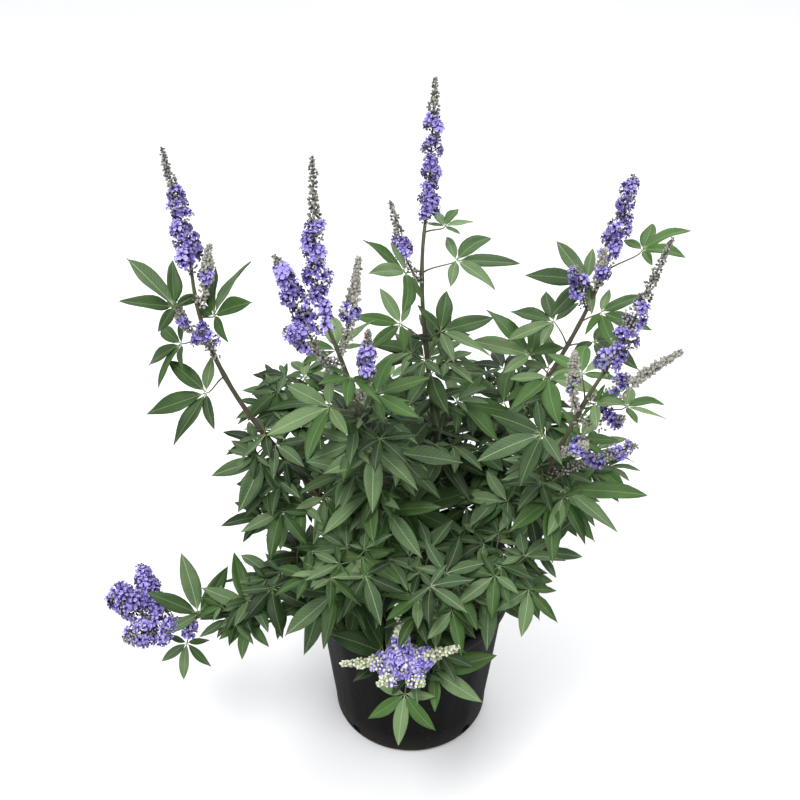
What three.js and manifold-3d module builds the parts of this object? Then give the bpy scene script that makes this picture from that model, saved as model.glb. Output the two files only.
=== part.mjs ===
// Potted chaste tree: a many-stemmed flowering shrub that stands in a round black nursery pot.
// Millimetres, +Z up. The origin is the centre of the pot's underside, and -Y is the front.

import * as THREE from "three";
import { mergeVertices } from "three/addons/utils/BufferGeometryUtils.js";
import Module from "manifold-3d";

const wasm = await Module();
wasm.setup();

// Pot
const POT_HEIGHT = 240;
const POT_RIM_RADIUS = 140;
const POT_RIM_HEIGHT = 22;
const RIM_ROLL = 1.5;
const RIM_EDGE = 3;
const POT_NECK_RADIUS = 134;
const POT_BASE_RADIUS = 112;
const POT_FOOT_RADIUS = 7;
const POT_WALL = 2.4;
const POT_SIDES = 32;
const FLUTE_DEPTH = 1.3;
const FLUTE_MARGIN = 12;
const DRAIN_HOLES = 4;
const DRAIN_RADIUS = 8;
const DRAIN_SIDES = 6;
const DRAIN_REACH = 30;
const DRAIN_HEIGHT = 13;

// Between separate pieces that touch, and what is too thin to keep where solids are joined
const GAP = 0.3;
const SLIVER = 0.05;

// Soil and crown
const SOIL_TOP = 212;
const SOIL_DOME = 8;
const SOIL_LUMP = 3;
const SOIL_SIDES = 16;
const SOIL_RINGS = [0.86, 0.64, 0.4, 0];
const CROWN_HEIGHT = 226;
const CROWN_RADIUS = 17;
const ROOT_RADIUS = 12;
const ROOT_DEPTH = 60;
const ROOT_TAPER = 0.8;
const ROOT_SIDES = 10;
const KNUCKLE_RISE = 5;
const KNUCKLE_SQUASH = 0.7;
const CROWN_RING = 9;
const STUB_LENGTH = 52;

// Leaves: leaflet angles from the middle one and lengths beside it, half width beside the length
const LEAFLET_ANGLES = [-100, -50, 0, 50, 100];
const LEAFLET_LENGTHS = [0.6, 0.88, 1, 0.88, 0.6];
const LEAFLET_HALF_WIDTH = 0.145;
const LEAFLET_RIB = 0.7;
const LEAFLET_KEEL = 0.22;
const LEAFLET_SAG = 0.14;
const LEAFLET_ARCH = 0.1;
const LEAFLET_BELLY = 0.46;
const HUB_RADIUS = 4;
const STALK_LENGTH = 0.46;
const STALK_RADIUS = 1.1;
const STALK_SIDES = 3;
const LEAF_CLEARANCE = 0.5;

// How leaves vary: their stalks' way, shorter leaves up the stem, and degrees of swing, droop and roll.
// All of them lean a little towards the front, to the light.
const STALK_WAY = { out: 0.8, along: 0.45, up: 0.2 };
const STALK_CLEAR = 0.12;
const LEAF_FULL = 0.92;
const LEAF_SHORTER = 0.3;
const LEAF_VARY = 0.26;
const LEAF_FORWARD = 0.4;
const LEAF_SWING = 50;
const LEAF_DROOP = 30;
const LEAF_LIFT = 10;
const LEAF_ROLL = 44;
const LEAF_LEAN = 15;
const LAST_PAIR = 0.975;

// The turns, droops and sizes that a leaf tries until it stands clear of everything else
const TRIES = [
  { turn: 0, droop: 0, size: 1 },
  { turn: 25, droop: 0, size: 1 },
  { turn: -25, droop: 0, size: 1 },
  { turn: 0, droop: 20, size: 1 },
  { turn: 0, droop: -20, size: 1 },
  { turn: 45, droop: 15, size: 0.9 },
  { turn: -45, droop: 15, size: 0.9 },
  { turn: 30, droop: -20, size: 0.85 },
  { turn: -30, droop: -20, size: 0.85 },
  { turn: 65, droop: 0, size: 0.75 },
  { turn: -65, droop: 0, size: 0.75 },
  { turn: 0, droop: 40, size: 0.75 },
  { turn: 0, droop: -40, size: 0.75 },
];

// Flowering stems. path: start on the crown is worked out, then two handles and the end of the stem.
// pairs: leaf pairs from the place `first` to the place `last`, turned by `turn` and then by `step`
// each, which is a quarter turn on upright stems and little on stems that lie over the rim.
// accents: leaves that stand out from the rest, each from a place on the stem to its own hub, with the
// bearing of its middle leaflet, the degrees that it droops and rolls, and its length.
// at: the place on the stem where a side spike stands. tip: the end of a spike.
// bloom: the stretch of a spike that carries open florets, from 0 at its foot to 1 at its tip.
// florets: how large they are, where that differs from the rest.
const FLOWERING = [
  { name: "left", handles: [[-95, 0, 380], [-265, 15, 505]], end: [-265, 25, 710],
    pairs: 2, first: 0.3, last: 0.5, leaf: 84, turn: 60,
    accents: [
      { at: 0.9, hub: [-240, 5, 665], bearing: 30, droop: -50, roll: 0, length: 85 },
      { at: 0.95, hub: [-285, 0, 680], bearing: 155, droop: -20, roll: 0, length: 85 },
      { at: 0.75, hub: [-255, -20, 570], bearing: 180, droop: 15, roll: -30, length: 90 },
      { at: 0.85, hub: [-290, 30, 610], bearing: 190, droop: 35, roll: -30, length: 75 },
    ],
    spike: { tip: [-285, 40, 865], bloom: [0.08, 0.68] },
    sides: [
      { at: 0.93, tip: [-240, 25, 750], bloom: [0.38, 0.58] },
      { at: 0.84, tip: [-300, 15, 695], bloom: [0.4, 0.5] },
      { at: 0.8, tip: [-260, -10, 670], bloom: [0.5, 0.95] },
    ] },
  { name: "front_left", handles: [[-50, -25, 375], [-45, -70, 540]], end: [-95, -90, 700],
    pairs: 7, first: 0.26, last: 0.975, leaf: 88, turn: 65,
    accents: [
      { at: 0.45, hub: [-50, -65, 450], bearing: 215, droop: 25, roll: 0, length: 90 },
    ],
    spike: { tip: [-105, -95, 910], bloom: [0.05, 0.64] },
    sides: [
      { at: 0.84, tip: [-155, -95, 805], bloom: [0.5, 0.92] },
      { at: 0.93, tip: [-60, -70, 785], bloom: [0.4, 0.5] },
      { at: 0.78, tip: [-50, -110, 715], bloom: [0.45, 0.75] },
      { at: 0.9, tip: [-150, -125, 730], bloom: [0.5, 0.95] },
    ] },
  { name: "centre", handles: [[75, 25, 390], [-5, 95, 555]], end: [15, 110, 735],
    pairs: 4, first: 0.26, last: 0.6, leaf: 84, turn: 10,
    accents: [
      { at: 0.88, hub: [-10, 60, 695], bearing: 210, droop: -20, roll: -40, length: 80 },
      { at: 0.88, hub: [55, 100, 690], bearing: 0, droop: 0, roll: 15, length: 85 },
      { at: 0.7, hub: [-15, 70, 615], bearing: 180, droop: -10, roll: -45, length: 65 },
      { at: 0.7, hub: [35, 60, 610], bearing: 30, droop: 0, roll: 25, length: 85 },
      { at: 0.98, hub: [40, 115, 730], bearing: 60, droop: -10, roll: 0, length: 45 },
    ],
    spike: { tip: [25, 115, 920], bloom: [0.05, 0.76] },
    sides: [
      { at: 0.86, tip: [-30, 100, 775], bloom: [0.35, 0.6] },
    ] },
  { name: "right_back", handles: [[75, 55, 370], [205, 115, 495]], end: [250, 125, 670],
    pairs: 5, first: 0.26, last: 0.77, leaf: 86, turn: 50,
    accents: [
      { at: 0.68, hub: [160, 115, 540], bearing: 125, droop: -25, roll: 0, length: 100 },
      { at: 0.98, hub: [290, 110, 700], bearing: 15, droop: -25, roll: 0, length: 70 },
      { at: 0.92, hub: [230, 140, 640], bearing: 150, droop: 0, roll: -40, length: 85 },
      { at: 0.84, hub: [245, 100, 615], bearing: -30, droop: 0, roll: 20, length: 75 },
    ],
    spike: { tip: [275, 135, 800], bloom: [0.1, 0.98] },
    sides: [
      { at: 0.88, tip: [205, 110, 685], bloom: [0.4, 0.98] },
      { at: 0.94, tip: [240, 95, 710], bloom: [0.4, 0.5] },
    ] },
  { name: "right_front", handles: [[155, -50, 300], [155, -65, 490]], end: [220, -75, 635],
    pairs: 5, first: 0.26, last: 0.9, leaf: 90, turn: 35,
    accents: [
      { at: 0.6, hub: [190, -80, 465], bearing: 0, droop: 0, roll: 10, length: 105 },
      { at: 0.42, hub: [135, -80, 325], bearing: -50, droop: 50, roll: 0, length: 75 },
      { at: 0.88, hub: [250, -80, 590], bearing: 0, droop: 5, roll: 0, length: 60 },
    ],
    spike: { tip: [275, -80, 810], bloom: [0.05, 0.55] },
    sides: [
      { at: 0.87, tip: [180, -90, 675], bloom: [0.4, 0.5] },
      { at: 0.91, tip: [300, -100, 680], bloom: [0.3, 0.42] },
      { at: 0.66, tip: [270, -110, 560], bloom: [0.5, 0.95] },
      { at: 0.73, tip: [200, -120, 565], bloom: [0.7, 0.75] },
      { at: 0.84, tip: [245, -125, 605], bloom: [0.45, 0.95] },
    ] },
  { name: "low_left", handles: [[-110, -40, 335], [-225, -95, 245]], end: [-340, -90, 250],
    pairs: 3, first: 0.34, last: 0.5, leaf: 84, turn: -25, step: 16,
    accents: [
      { at: 0.8, hub: [-285, -95, 265], bearing: 120, droop: -45, roll: 0, length: 90 },
      { at: 0.6, hub: [-215, -95, 275], bearing: 115, droop: -40, roll: 0, length: 85 },
      { at: 0.62, hub: [-215, -110, 265], bearing: -100, droop: 15, roll: 0, length: 55 },
      { at: 0.86, hub: [-305, -100, 215], bearing: -100, droop: 60, roll: 0, length: 55 },
    ],
    spike: { tip: [-405, -90, 300], bloom: [0.12, 0.95], florets: 1.1 },
    sides: [
      { at: 0.95, tip: [-380, -35, 300], bloom: [0.45, 0.95] },
      { at: 0.9, tip: [-385, -145, 260], bloom: [0.45, 0.95] },
      { at: 0.86, tip: [-300, -125, 240], bloom: [0.6, 0.95] },
    ] },
  { name: "low_front", handles: [[5, -90, 300], [-5, -170, 250]], end: [-10, -190, 275],
    pairs: 2, first: 0.42, last: 0.6, leaf: 84, turn: -35, step: 30,
    accents: [
      { at: 0.6, hub: [-35, -165, 265], bearing: 125, droop: -45, roll: 0, length: 100 },
      { at: 0.65, hub: [25, -180, 250], bearing: 10, droop: -10, roll: 30, length: 90 },
      { at: 0.85, hub: [-10, -205, 235], bearing: -105, droop: 50, roll: 0, length: 70 },
    ],
    spike: { tip: [-20, -170, 360], bloom: [0.08, 0.5] },
    sides: [
      { at: 0.92, tip: [55, -215, 330], bloom: [0.6, 0.75] },
      { at: 0.9, tip: [-90, -205, 290], bloom: [0.5, 0.72] },
      { at: 0.97, tip: [20, -230, 265], bloom: [0.35, 0.9] },
      { at: 0.86, tip: [-50, -230, 270], bloom: [0.4, 0.9] },
    ] },
];

// Leafy stems with no flowers: bearing in degrees from +X, reach from the crown and rise over it
const LEAFY = [
  { name: "front", bearing: -80, reach: 150, rise: 130, pairs: 3, leaf: 86, turn: 15 },
  { name: "front_right", bearing: -45, reach: 165, rise: 140, pairs: 4, leaf: 84, turn: 50 },
  { name: "right", bearing: 0, reach: 215, rise: 200, pairs: 4, leaf: 84, turn: 30 },
  { name: "back_right", bearing: 50, reach: 185, rise: 230, pairs: 4, leaf: 84, turn: 75 },
  { name: "back", bearing: 100, reach: 200, rise: 190, pairs: 4, leaf: 86, turn: 10 },
  { name: "back_left", bearing: 145, reach: 190, rise: 250, pairs: 4, leaf: 84, turn: 60 },
  { name: "left_side", bearing: 190, reach: 150, rise: 190, pairs: 4, leaf: 84, turn: 25 },
  { name: "front_left_low", bearing: 240, reach: 180, rise: 150, pairs: 4, leaf: 86, turn: 70 },
];

const FLOWERING_RADII = [5.2, 2.2];
const LEAFY_RADII = [3.8, 1.5];
const LEAFY_FIRST = 0.34;
const QUARTER_TURN = 90;
const STEM_SIDES = 4;

// Florets and buds. lips: the corners of a floret's mouth, beside its half width and half height
const FLORET_REACH = 18;
const FLORET_HALF_WIDTH = 8.4;
const FLORET_HALF_HEIGHT = 6.4;
const FLORET_LIPS = [[-1, -0.8], [0.9, -1], [0.7, 1], [-0.75, 0.85]];
const FLORET_ROOT = 5;
const FLORET_SHIFT = 3;
const SIDE_FLORETS = 0.8;
const LAST_FLORETS = 0.64;
const WHORL_SPACING = 17;
const BEAD_SPACING = 19;
const BEAD_RADIUS = 3.6;
const LAST_BEAD = 0.4;
const RACHIS_RADIUS = 1.5;
const TIP_RADIUS = 0.3;
const SIDE_SEAT = 0.6;
const SPIKE_BEND = 0.7;
const THIRD_TURN = (2 * Math.PI) / 3;

const COLOURS = {
  pot: { color: 0x191a1c, roughness: 0.5, metalness: 0 },
  soil: { color: 0x33271f, roughness: 0.95, metalness: 0 },
  bark: { color: 0x4a3a2c, roughness: 0.85, metalness: 0 },
  leaf: { color: 0x47694a, roughness: 0.6, metalness: 0 },
  floret: { color: 0x6a55c8, roughness: 0.7, metalness: 0 },
};

const radians = THREE.MathUtils.degToRad;
const UP = new THREE.Vector3(0, 0, 1);
const RIGHT = new THREE.Vector3(1, 0, 0);

// An even spread of numbers from 0 to 1, the same each time
function spread(seed, index) {
  const sum = seed * 0.7548776662 + index * 0.569840291;
  return sum - Math.floor(sum);
}

// A closed geometry as a solid, with its shared vertices merged and its collapsed faces left out
function solidOf(geometry) {
  const bare = new THREE.BufferGeometry();
  bare.setAttribute("position", geometry.getAttribute("position"));
  bare.setIndex(geometry.getIndex());
  const merged = mergeVertices(bare, 1e-3);
  const index = merged.getIndex().array;
  const faces = [];
  for (let i = 0; i < index.length; i += 3) {
    const [a, b, c] = [index[i], index[i + 1], index[i + 2]];
    if (a !== b && b !== c && c !== a) faces.push(a, b, c);
  }
  return new wasm.Manifold(new wasm.Mesh({
    numProp: 3,
    vertProperties: new Float32Array(merged.getAttribute("position").array),
    triVerts: new Uint32Array(faces),
  }));
}

function geometryOf(solid) {
  const mesh = solid.getMesh();
  const geometry = new THREE.BufferGeometry();
  geometry.setAttribute("position", new THREE.BufferAttribute(mesh.vertProperties, 3));
  geometry.setIndex(new THREE.BufferAttribute(mesh.triVerts, 1));
  geometry.computeVertexNormals();
  return geometry;
}

// A lathe turned about +Z from [radius, height] points
function latheOf(points, sides) {
  const profile = points.map(([radius, height]) => new THREE.Vector2(radius, height));
  return new THREE.LatheGeometry(profile, sides).rotateX(Math.PI / 2);
}

// A stem's or spike's course, with a level side direction that its leaves are set out from
class Course {
  constructor(start, handleA, handleB, end) {
    this.curve = new THREE.CubicBezierCurve3(start, handleA, handleB, end);
    const run = end.clone().sub(start);
    this.side = new THREE.Vector3(-run.y, run.x, 0).normalize();
  }

  frame(t) {
    const point = this.curve.getPoint(t);
    const along = this.curve.getTangent(t);
    const across = this.side.clone().addScaledVector(along, -this.side.dot(along)).normalize();
    const over = along.clone().cross(across);
    return { point, along, across, over };
  }

  // The place along the course that lies a distance from its start
  placeAt(distance) {
    return this.curve.getUtoTmapping(0, distance);
  }

  // A geometry whose +Z runs from 0 to 1 is laid along the course
  lay(geometry) {
    const position = geometry.getAttribute("position");
    for (let i = 0; i < position.count; i += 1) {
      const { point, across, over } = this.frame(position.getZ(i));
      point.addScaledVector(across, position.getX(i)).addScaledVector(over, position.getY(i));
      position.setXYZ(i, point.x, point.y, point.z);
    }
    return geometry;
  }

  // A tapered round rod with a ring of its vertices at each of the places
  rod(radii, places) {
    const rod = new THREE.CylinderGeometry(1, 1, 1, STEM_SIDES, places.length - 1);
    rod.rotateX(Math.PI / 2).translate(0, 0, 0.5);
    const position = rod.getAttribute("position");
    for (let i = 0; i < position.count; i += 1) {
      const place = places[Math.round(position.getZ(i) * (places.length - 1))];
      const radius = THREE.MathUtils.lerp(radii[0], radii[1], place);
      position.setXYZ(i, position.getX(i) * radius, position.getY(i) * radius, place);
    }
    return this.lay(rod);
  }
}

// The pot's outer wall leans out evenly from its foot to its neck
function wallRadius(height) {
  const share = height / (POT_HEIGHT - POT_RIM_HEIGHT);
  return THREE.MathUtils.lerp(POT_BASE_RADIUS, POT_NECK_RADIUS, share);
}

function potGeometry() {
  const neck = POT_HEIGHT - POT_RIM_HEIGHT;
  const low = POT_FOOT_RADIUS + FLUTE_MARGIN;
  const high = neck - FLUTE_MARGIN;
  const outside = [
    [0, 0],
    [POT_BASE_RADIUS - POT_FOOT_RADIUS, 0],
    [wallRadius(POT_FOOT_RADIUS), POT_FOOT_RADIUS],
    [wallRadius(low), low],
    [wallRadius(high), high],
    [POT_NECK_RADIUS, neck],
    [POT_RIM_RADIUS - RIM_ROLL, neck + RIM_ROLL],
    [POT_RIM_RADIUS, POT_HEIGHT - RIM_EDGE],
    [POT_RIM_RADIUS - RIM_EDGE, POT_HEIGHT],
  ];
  const inside = [
    [POT_RIM_RADIUS - RIM_EDGE - POT_WALL, POT_HEIGHT - RIM_ROLL],
    [POT_NECK_RADIUS - POT_WALL, neck - POT_WALL],
    [wallRadius(POT_FOOT_RADIUS) - POT_WALL - FLUTE_DEPTH, POT_FOOT_RADIUS],
    [POT_BASE_RADIUS - POT_FOOT_RADIUS - POT_WALL, POT_WALL],
    [0, POT_WALL],
  ];
  const pot = latheOf([...outside, ...inside], POT_SIDES);
  const position = pot.getAttribute("position");
  for (let i = 0; i < position.count; i += 1) {
    const [x, y, z] = [position.getX(i), position.getY(i), position.getZ(i)];
    const radius = Math.hypot(x, y);
    const onWall = radius > wallRadius(z) - 0.5 && z > low - 1 && z < high + 1;
    const column = Math.round((Math.atan2(y, x) / Math.PI) * (POT_SIDES / 2));
    if (onWall && column % 2 !== 0) {
      const sunk = (radius - FLUTE_DEPTH) / radius;
      position.setXY(i, x * sunk, y * sunk);
    }
  }
  return pot;
}

function potSolid() {
  let pot = solidOf(potGeometry());
  for (let i = 0; i < DRAIN_HOLES; i += 1) {
    const drill = new THREE.CylinderGeometry(DRAIN_RADIUS, DRAIN_RADIUS, DRAIN_REACH, DRAIN_SIDES);
    drill.rotateZ(Math.PI / 2).translate(POT_BASE_RADIUS, 0, DRAIN_HEIGHT);
    drill.rotateZ(((i + 0.5) / DRAIN_HOLES) * 2 * Math.PI);
    pot = pot.subtract(solidOf(drill));
  }
  return pot;
}

function soilSolid() {
  const neck = POT_HEIGHT - POT_RIM_HEIGHT;
  const seat = POT_WALL + FLUTE_DEPTH + GAP;
  const edge = wallRadius(SOIL_TOP) - POT_WALL - FLUTE_DEPTH - GAP;
  const surface = SOIL_RINGS.map((share) => [edge * share, SOIL_TOP + SOIL_DOME * (1 - share * share)]);
  const soil = latheOf([
    [0, POT_WALL + GAP],
    [POT_BASE_RADIUS - POT_FOOT_RADIUS - POT_WALL - GAP, POT_WALL + GAP],
    [wallRadius(POT_FOOT_RADIUS) - seat, POT_FOOT_RADIUS + GAP],
    [wallRadius(neck / 2) - seat, neck / 2],
    [edge, SOIL_TOP],
    ...surface,
  ], SOIL_SIDES);
  const position = soil.getAttribute("position");
  for (let i = 0; i < position.count; i += 1) {
    const [x, y, z] = [position.getX(i), position.getY(i), position.getZ(i)];
    const radius = Math.hypot(x, y);
    if (z > SOIL_TOP + 0.5 && radius > 2 * ROOT_RADIUS) {
      const lump = Math.sin(x * 0.11 + y * 0.03) * Math.cos(y * 0.13 - x * 0.05);
      position.setZ(i, z + SOIL_LUMP * lump);
    }
  }
  const bore = new THREE.CylinderGeometry(ROOT_RADIUS + GAP, ROOT_RADIUS + GAP, 2 * ROOT_DEPTH, ROOT_SIDES);
  bore.rotateX(Math.PI / 2).translate(0, 0, SOIL_TOP + SOIL_DOME - GAP);
  return solidOf(soil).subtract(solidOf(bore));
}

const vector = ([x, y, z]) => new THREE.Vector3(x, y, z);

// Where a stem that heads for a bearing leaves the crown
function crownStart(bearing) {
  return new THREE.Vector3(CROWN_RING * Math.cos(bearing), CROWN_RING * Math.sin(bearing), CROWN_HEIGHT);
}

function floweringCourse({ handles, end }) {
  const start = crownStart(Math.atan2(handles[0][1], handles[0][0]));
  return new Course(start, vector(handles[0]), vector(handles[1]), vector(end));
}

function leafyCourse({ bearing, reach, rise }) {
  const heading = radians(bearing);
  const place = (out, up) => new THREE.Vector3(
    reach * out * Math.cos(heading), reach * out * Math.sin(heading), CROWN_HEIGHT + rise * up,
  );
  return new Course(crownStart(heading), place(0.3, 0.55), place(0.68, 0.95), place(1, 1));
}

function crownSolid(stems) {
  const root = new THREE.CylinderGeometry(ROOT_RADIUS, ROOT_RADIUS * ROOT_TAPER, ROOT_DEPTH, ROOT_SIDES);
  root.rotateX(Math.PI / 2).translate(0, 0, SOIL_TOP + SOIL_DOME - ROOT_DEPTH / 2);
  const knuckle = new THREE.SphereGeometry(CROWN_RADIUS, 8, 5).rotateX(Math.PI / 2);
  knuckle.scale(1, 1, KNUCKLE_SQUASH).translate(0, 0, CROWN_HEIGHT + KNUCKLE_RISE);
  const stubs = stems.map(({ course, radii, fork }) => course.rod(radii, [0, fork]));
  return wasm.Manifold.union([root, knuckle, ...stubs].map(solidOf)).simplify(SLIVER);
}

// One palmate leaf as a closed skin: a lens-shaped blade of leaflets that meet at the hub, with a rib
// on both faces, and a stalk that runs from under the hub back into the stem
function leafGeometry(root, hub, forward, side, face, length) {
  const points = [];
  const faces = [];
  const add = (point) => points.push(point) - 1;
  const at = (x, y, z) => hub.clone()
    .addScaledVector(forward, x).addScaledVector(side, y).addScaledVector(face, z);

  const last = LEAFLET_ANGLES.length - 1;
  const middle = last / 2;
  const notches = LEAFLET_ANGLES.map((angle, i) => {
    const between = radians(i === 0 ? 180 : (angle + LEAFLET_ANGLES[i - 1]) / 2);
    return add(at(HUB_RADIUS * Math.cos(between), HUB_RADIUS * Math.sin(between), 0));
  });
  const top = add(at(0, 0, LEAFLET_RIB));

  const travel = root.clone().sub(hub).normalize();
  const level = side.clone().addScaledVector(travel, -side.dot(travel)).normalize();
  const upright = travel.clone().cross(level);
  const ring = [];
  const end = [];
  for (let j = 0; j < STALK_SIDES; j += 1) {
    const turn = (j / STALK_SIDES) * 2 * Math.PI;
    const [c, s] = [Math.cos(turn) * STALK_RADIUS, Math.sin(turn) * STALK_RADIUS];
    ring.push(add(at(c, s, -2 * LEAFLET_RIB)));
    end.push(add(root.clone().addScaledVector(upright, c).addScaledVector(level, s)));
  }
  const nearest = (angle) => {
    const turn = THREE.MathUtils.euclideanModulo(angle, 360);
    return Math.round((turn / 360) * STALK_SIDES) % STALK_SIDES;
  };

  LEAFLET_ANGLES.forEach((angle, i) => {
    const size = length * LEAFLET_LENGTHS[i];
    const half = size * LEAFLET_HALF_WIDTH;
    const turn = radians(angle);
    const on = (share, off, lift) => {
      const out = size * share;
      const drop = size * (LEAFLET_ARCH * share - LEAFLET_SAG * share * share) + lift;
      const x = out * Math.cos(turn) - off * Math.sin(turn);
      return add(at(x, out * Math.sin(turn) + off * Math.cos(turn), drop));
    };
    const keel = half * LEAFLET_KEEL;
    const wide = i === middle ? [[0.32, 1], [0.66, 0.74]] : [[0.44, 1]];
    const right = wide.map(([share, width]) => on(share, -half * width, keel));
    const left = wide.map(([share, width]) => on(share, half * width, keel)).reverse();
    const margin = [notches[i], ...right, on(1, 0, 0), ...left, notches[i === last ? 0 : i + 1]];
    const over = on(LEAFLET_BELLY, 0, LEAFLET_RIB);
    const under = on(LEAFLET_BELLY, 0, -LEAFLET_RIB);
    const foot = ring[nearest(angle)];
    for (let j = 0; j + 1 < margin.length; j += 1) {
      faces.push(over, margin[j], margin[j + 1]);
      faces.push(under, margin[j + 1], margin[j]);
    }
    faces.push(over, margin[margin.length - 1], top, over, top, margin[0]);
    faces.push(under, foot, margin[margin.length - 1], under, margin[0], foot);
    const next = ring[nearest(LEAFLET_ANGLES[i === last ? 0 : i + 1])];
    if (next !== foot) faces.push(margin[margin.length - 1], foot, next);
  });
  for (let j = 0; j < STALK_SIDES; j += 1) {
    const k = (j + 1) % STALK_SIDES;
    faces.push(ring[j], end[j], end[k], ring[j], end[k], ring[k]);
  }
  faces.push(end[0], end[2], end[1]);

  const geometry = new THREE.BufferGeometry().setFromPoints(points);
  geometry.setIndex(faces);
  return geometry;
}

// A leaf's middle way, side and upper face, from a level heading and degrees of droop and roll
function leafFrame(heading, droop, roll) {
  const fall = radians(droop);
  const forward = heading.clone().multiplyScalar(Math.cos(fall)).addScaledVector(UP, -Math.sin(fall));
  const face = heading.clone().multiplyScalar(Math.sin(fall)).addScaledVector(UP, Math.cos(fall));
  face.applyAxisAngle(forward, radians(roll));
  return { forward, face, side: face.clone().cross(forward) };
}

function accentAt(stem, { at, hub, bearing, droop, roll, length }, attempt) {
  const turn = radians(bearing + attempt.turn);
  const heading = new THREE.Vector3(Math.cos(turn), Math.sin(turn), 0);
  const { point } = stem.course.frame(at);
  const set = leafFrame(heading, droop + attempt.droop, roll);
  return { root: point, hub: vector(hub), length: length * attempt.size, ...set };
}

// Where one leaf of a pair stands and how it hangs, or null if its stalk would cut through its blade
function leafAt(stem, place, phase, seed, attempt) {
  const { point, along, across, over } = stem.course.frame(place);
  const out = across.clone().multiplyScalar(Math.cos(phase)).addScaledVector(over, Math.sin(phase));
  const share = LEAF_FULL - LEAF_SHORTER * Math.pow(place, 3) + LEAF_VARY * spread(seed, 1);
  const length = stem.leaf * attempt.size * share;
  const reach = out.clone().multiplyScalar(STALK_WAY.out).addScaledVector(along, STALK_WAY.along);
  reach.addScaledVector(UP, STALK_WAY.up).normalize();
  const hub = point.clone().addScaledVector(reach, length * STALK_LENGTH);

  const heading = out.clone().addScaledVector(along, LEAF_FORWARD).setZ(0).normalize();
  heading.applyAxisAngle(UP, radians(attempt.turn + LEAF_SWING * (spread(seed, 2) - 0.5)));
  const droop = LEAF_DROOP * spread(seed, 3) - LEAF_LIFT + attempt.droop;
  const set = leafFrame(heading, droop, LEAF_ROLL * (spread(seed, 4) - 0.5));
  for (const way of Object.values(set)) way.applyAxisAngle(RIGHT, radians(LEAF_LEAN));
  if (reach.dot(set.face) < STALK_CLEAR) return null;
  return { root: point, hub, length, ...set };
}

function boxesMeet(a, b, margin) {
  return [0, 1, 2].every((i) => a.min[i] - margin < b.max[i] && b.min[i] - margin < a.max[i]);
}

function isClear(candidate, others) {
  const box = candidate.boundingBox();
  return others.every((other) => !boxesMeet(box, other.box, LEAF_CLEARANCE)
    || candidate.minGap(other.solid, 2 * LEAF_CLEARANCE) > LEAF_CLEARANCE);
}

function asObstacle(solid, owner) {
  return { solid, box: solid.boundingBox(), owner };
}

// Where along the stem its leaf pairs stand
function pairPlaces({ pairs, first, last }) {
  const share = (pair) => pair / (pairs - 1);
  return Array.from({ length: pairs }, (_, pair) => THREE.MathUtils.lerp(first, last, share(pair)));
}

// The first of the tries at a leaf that stands clear of the rest, if there is one. Leaves of one owner
// spring from the same place on the stem.
function placedLeaf(setAt, owner, stem, leaves, obstacles) {
  for (const attempt of TRIES) {
    const set = setAt(attempt);
    if (set === null) continue;
    const leaf = solidOf(leafGeometry(set.root, set.hub, set.forward, set.side, set.face, set.length));
    const clear = isClear(leaf, obstacles.filter((other) => other.owner !== stem.name))
      && isClear(leaf, leaves.filter((other) => other.owner !== owner));
    if (clear) return [asObstacle(leaf, owner)];
  }
  return [];
}

function accentLeaves(stem, obstacles) {
  const leaves = [];
  for (const accent of stem.accents) {
    const setAt = (attempt) => accentAt(stem, accent, attempt);
    leaves.push(...placedLeaf(setAt, `accent ${accent.at}`, stem, leaves, obstacles));
  }
  return leaves;
}

// A stem's leaf pairs, each pair a step round the stem from the last
function leavesOf(stem, stemNumber, accents, obstacles) {
  const leaves = [...accents];
  for (const [pair, place] of pairPlaces(stem).entries()) {
    for (let half = 0; half < 2; half += 1) {
      const phase = radians(stem.turn + stem.step * pair + 180 * half);
      const seed = stemNumber * 17 + pair * 2 + half + 1;
      const setAt = (attempt) => leafAt(stem, place, phase, seed, attempt);
      leaves.push(...placedLeaf(setAt, pair, stem, leaves, obstacles));
    }
  }
  return leaves.map(({ solid }) => solid);
}

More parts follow.
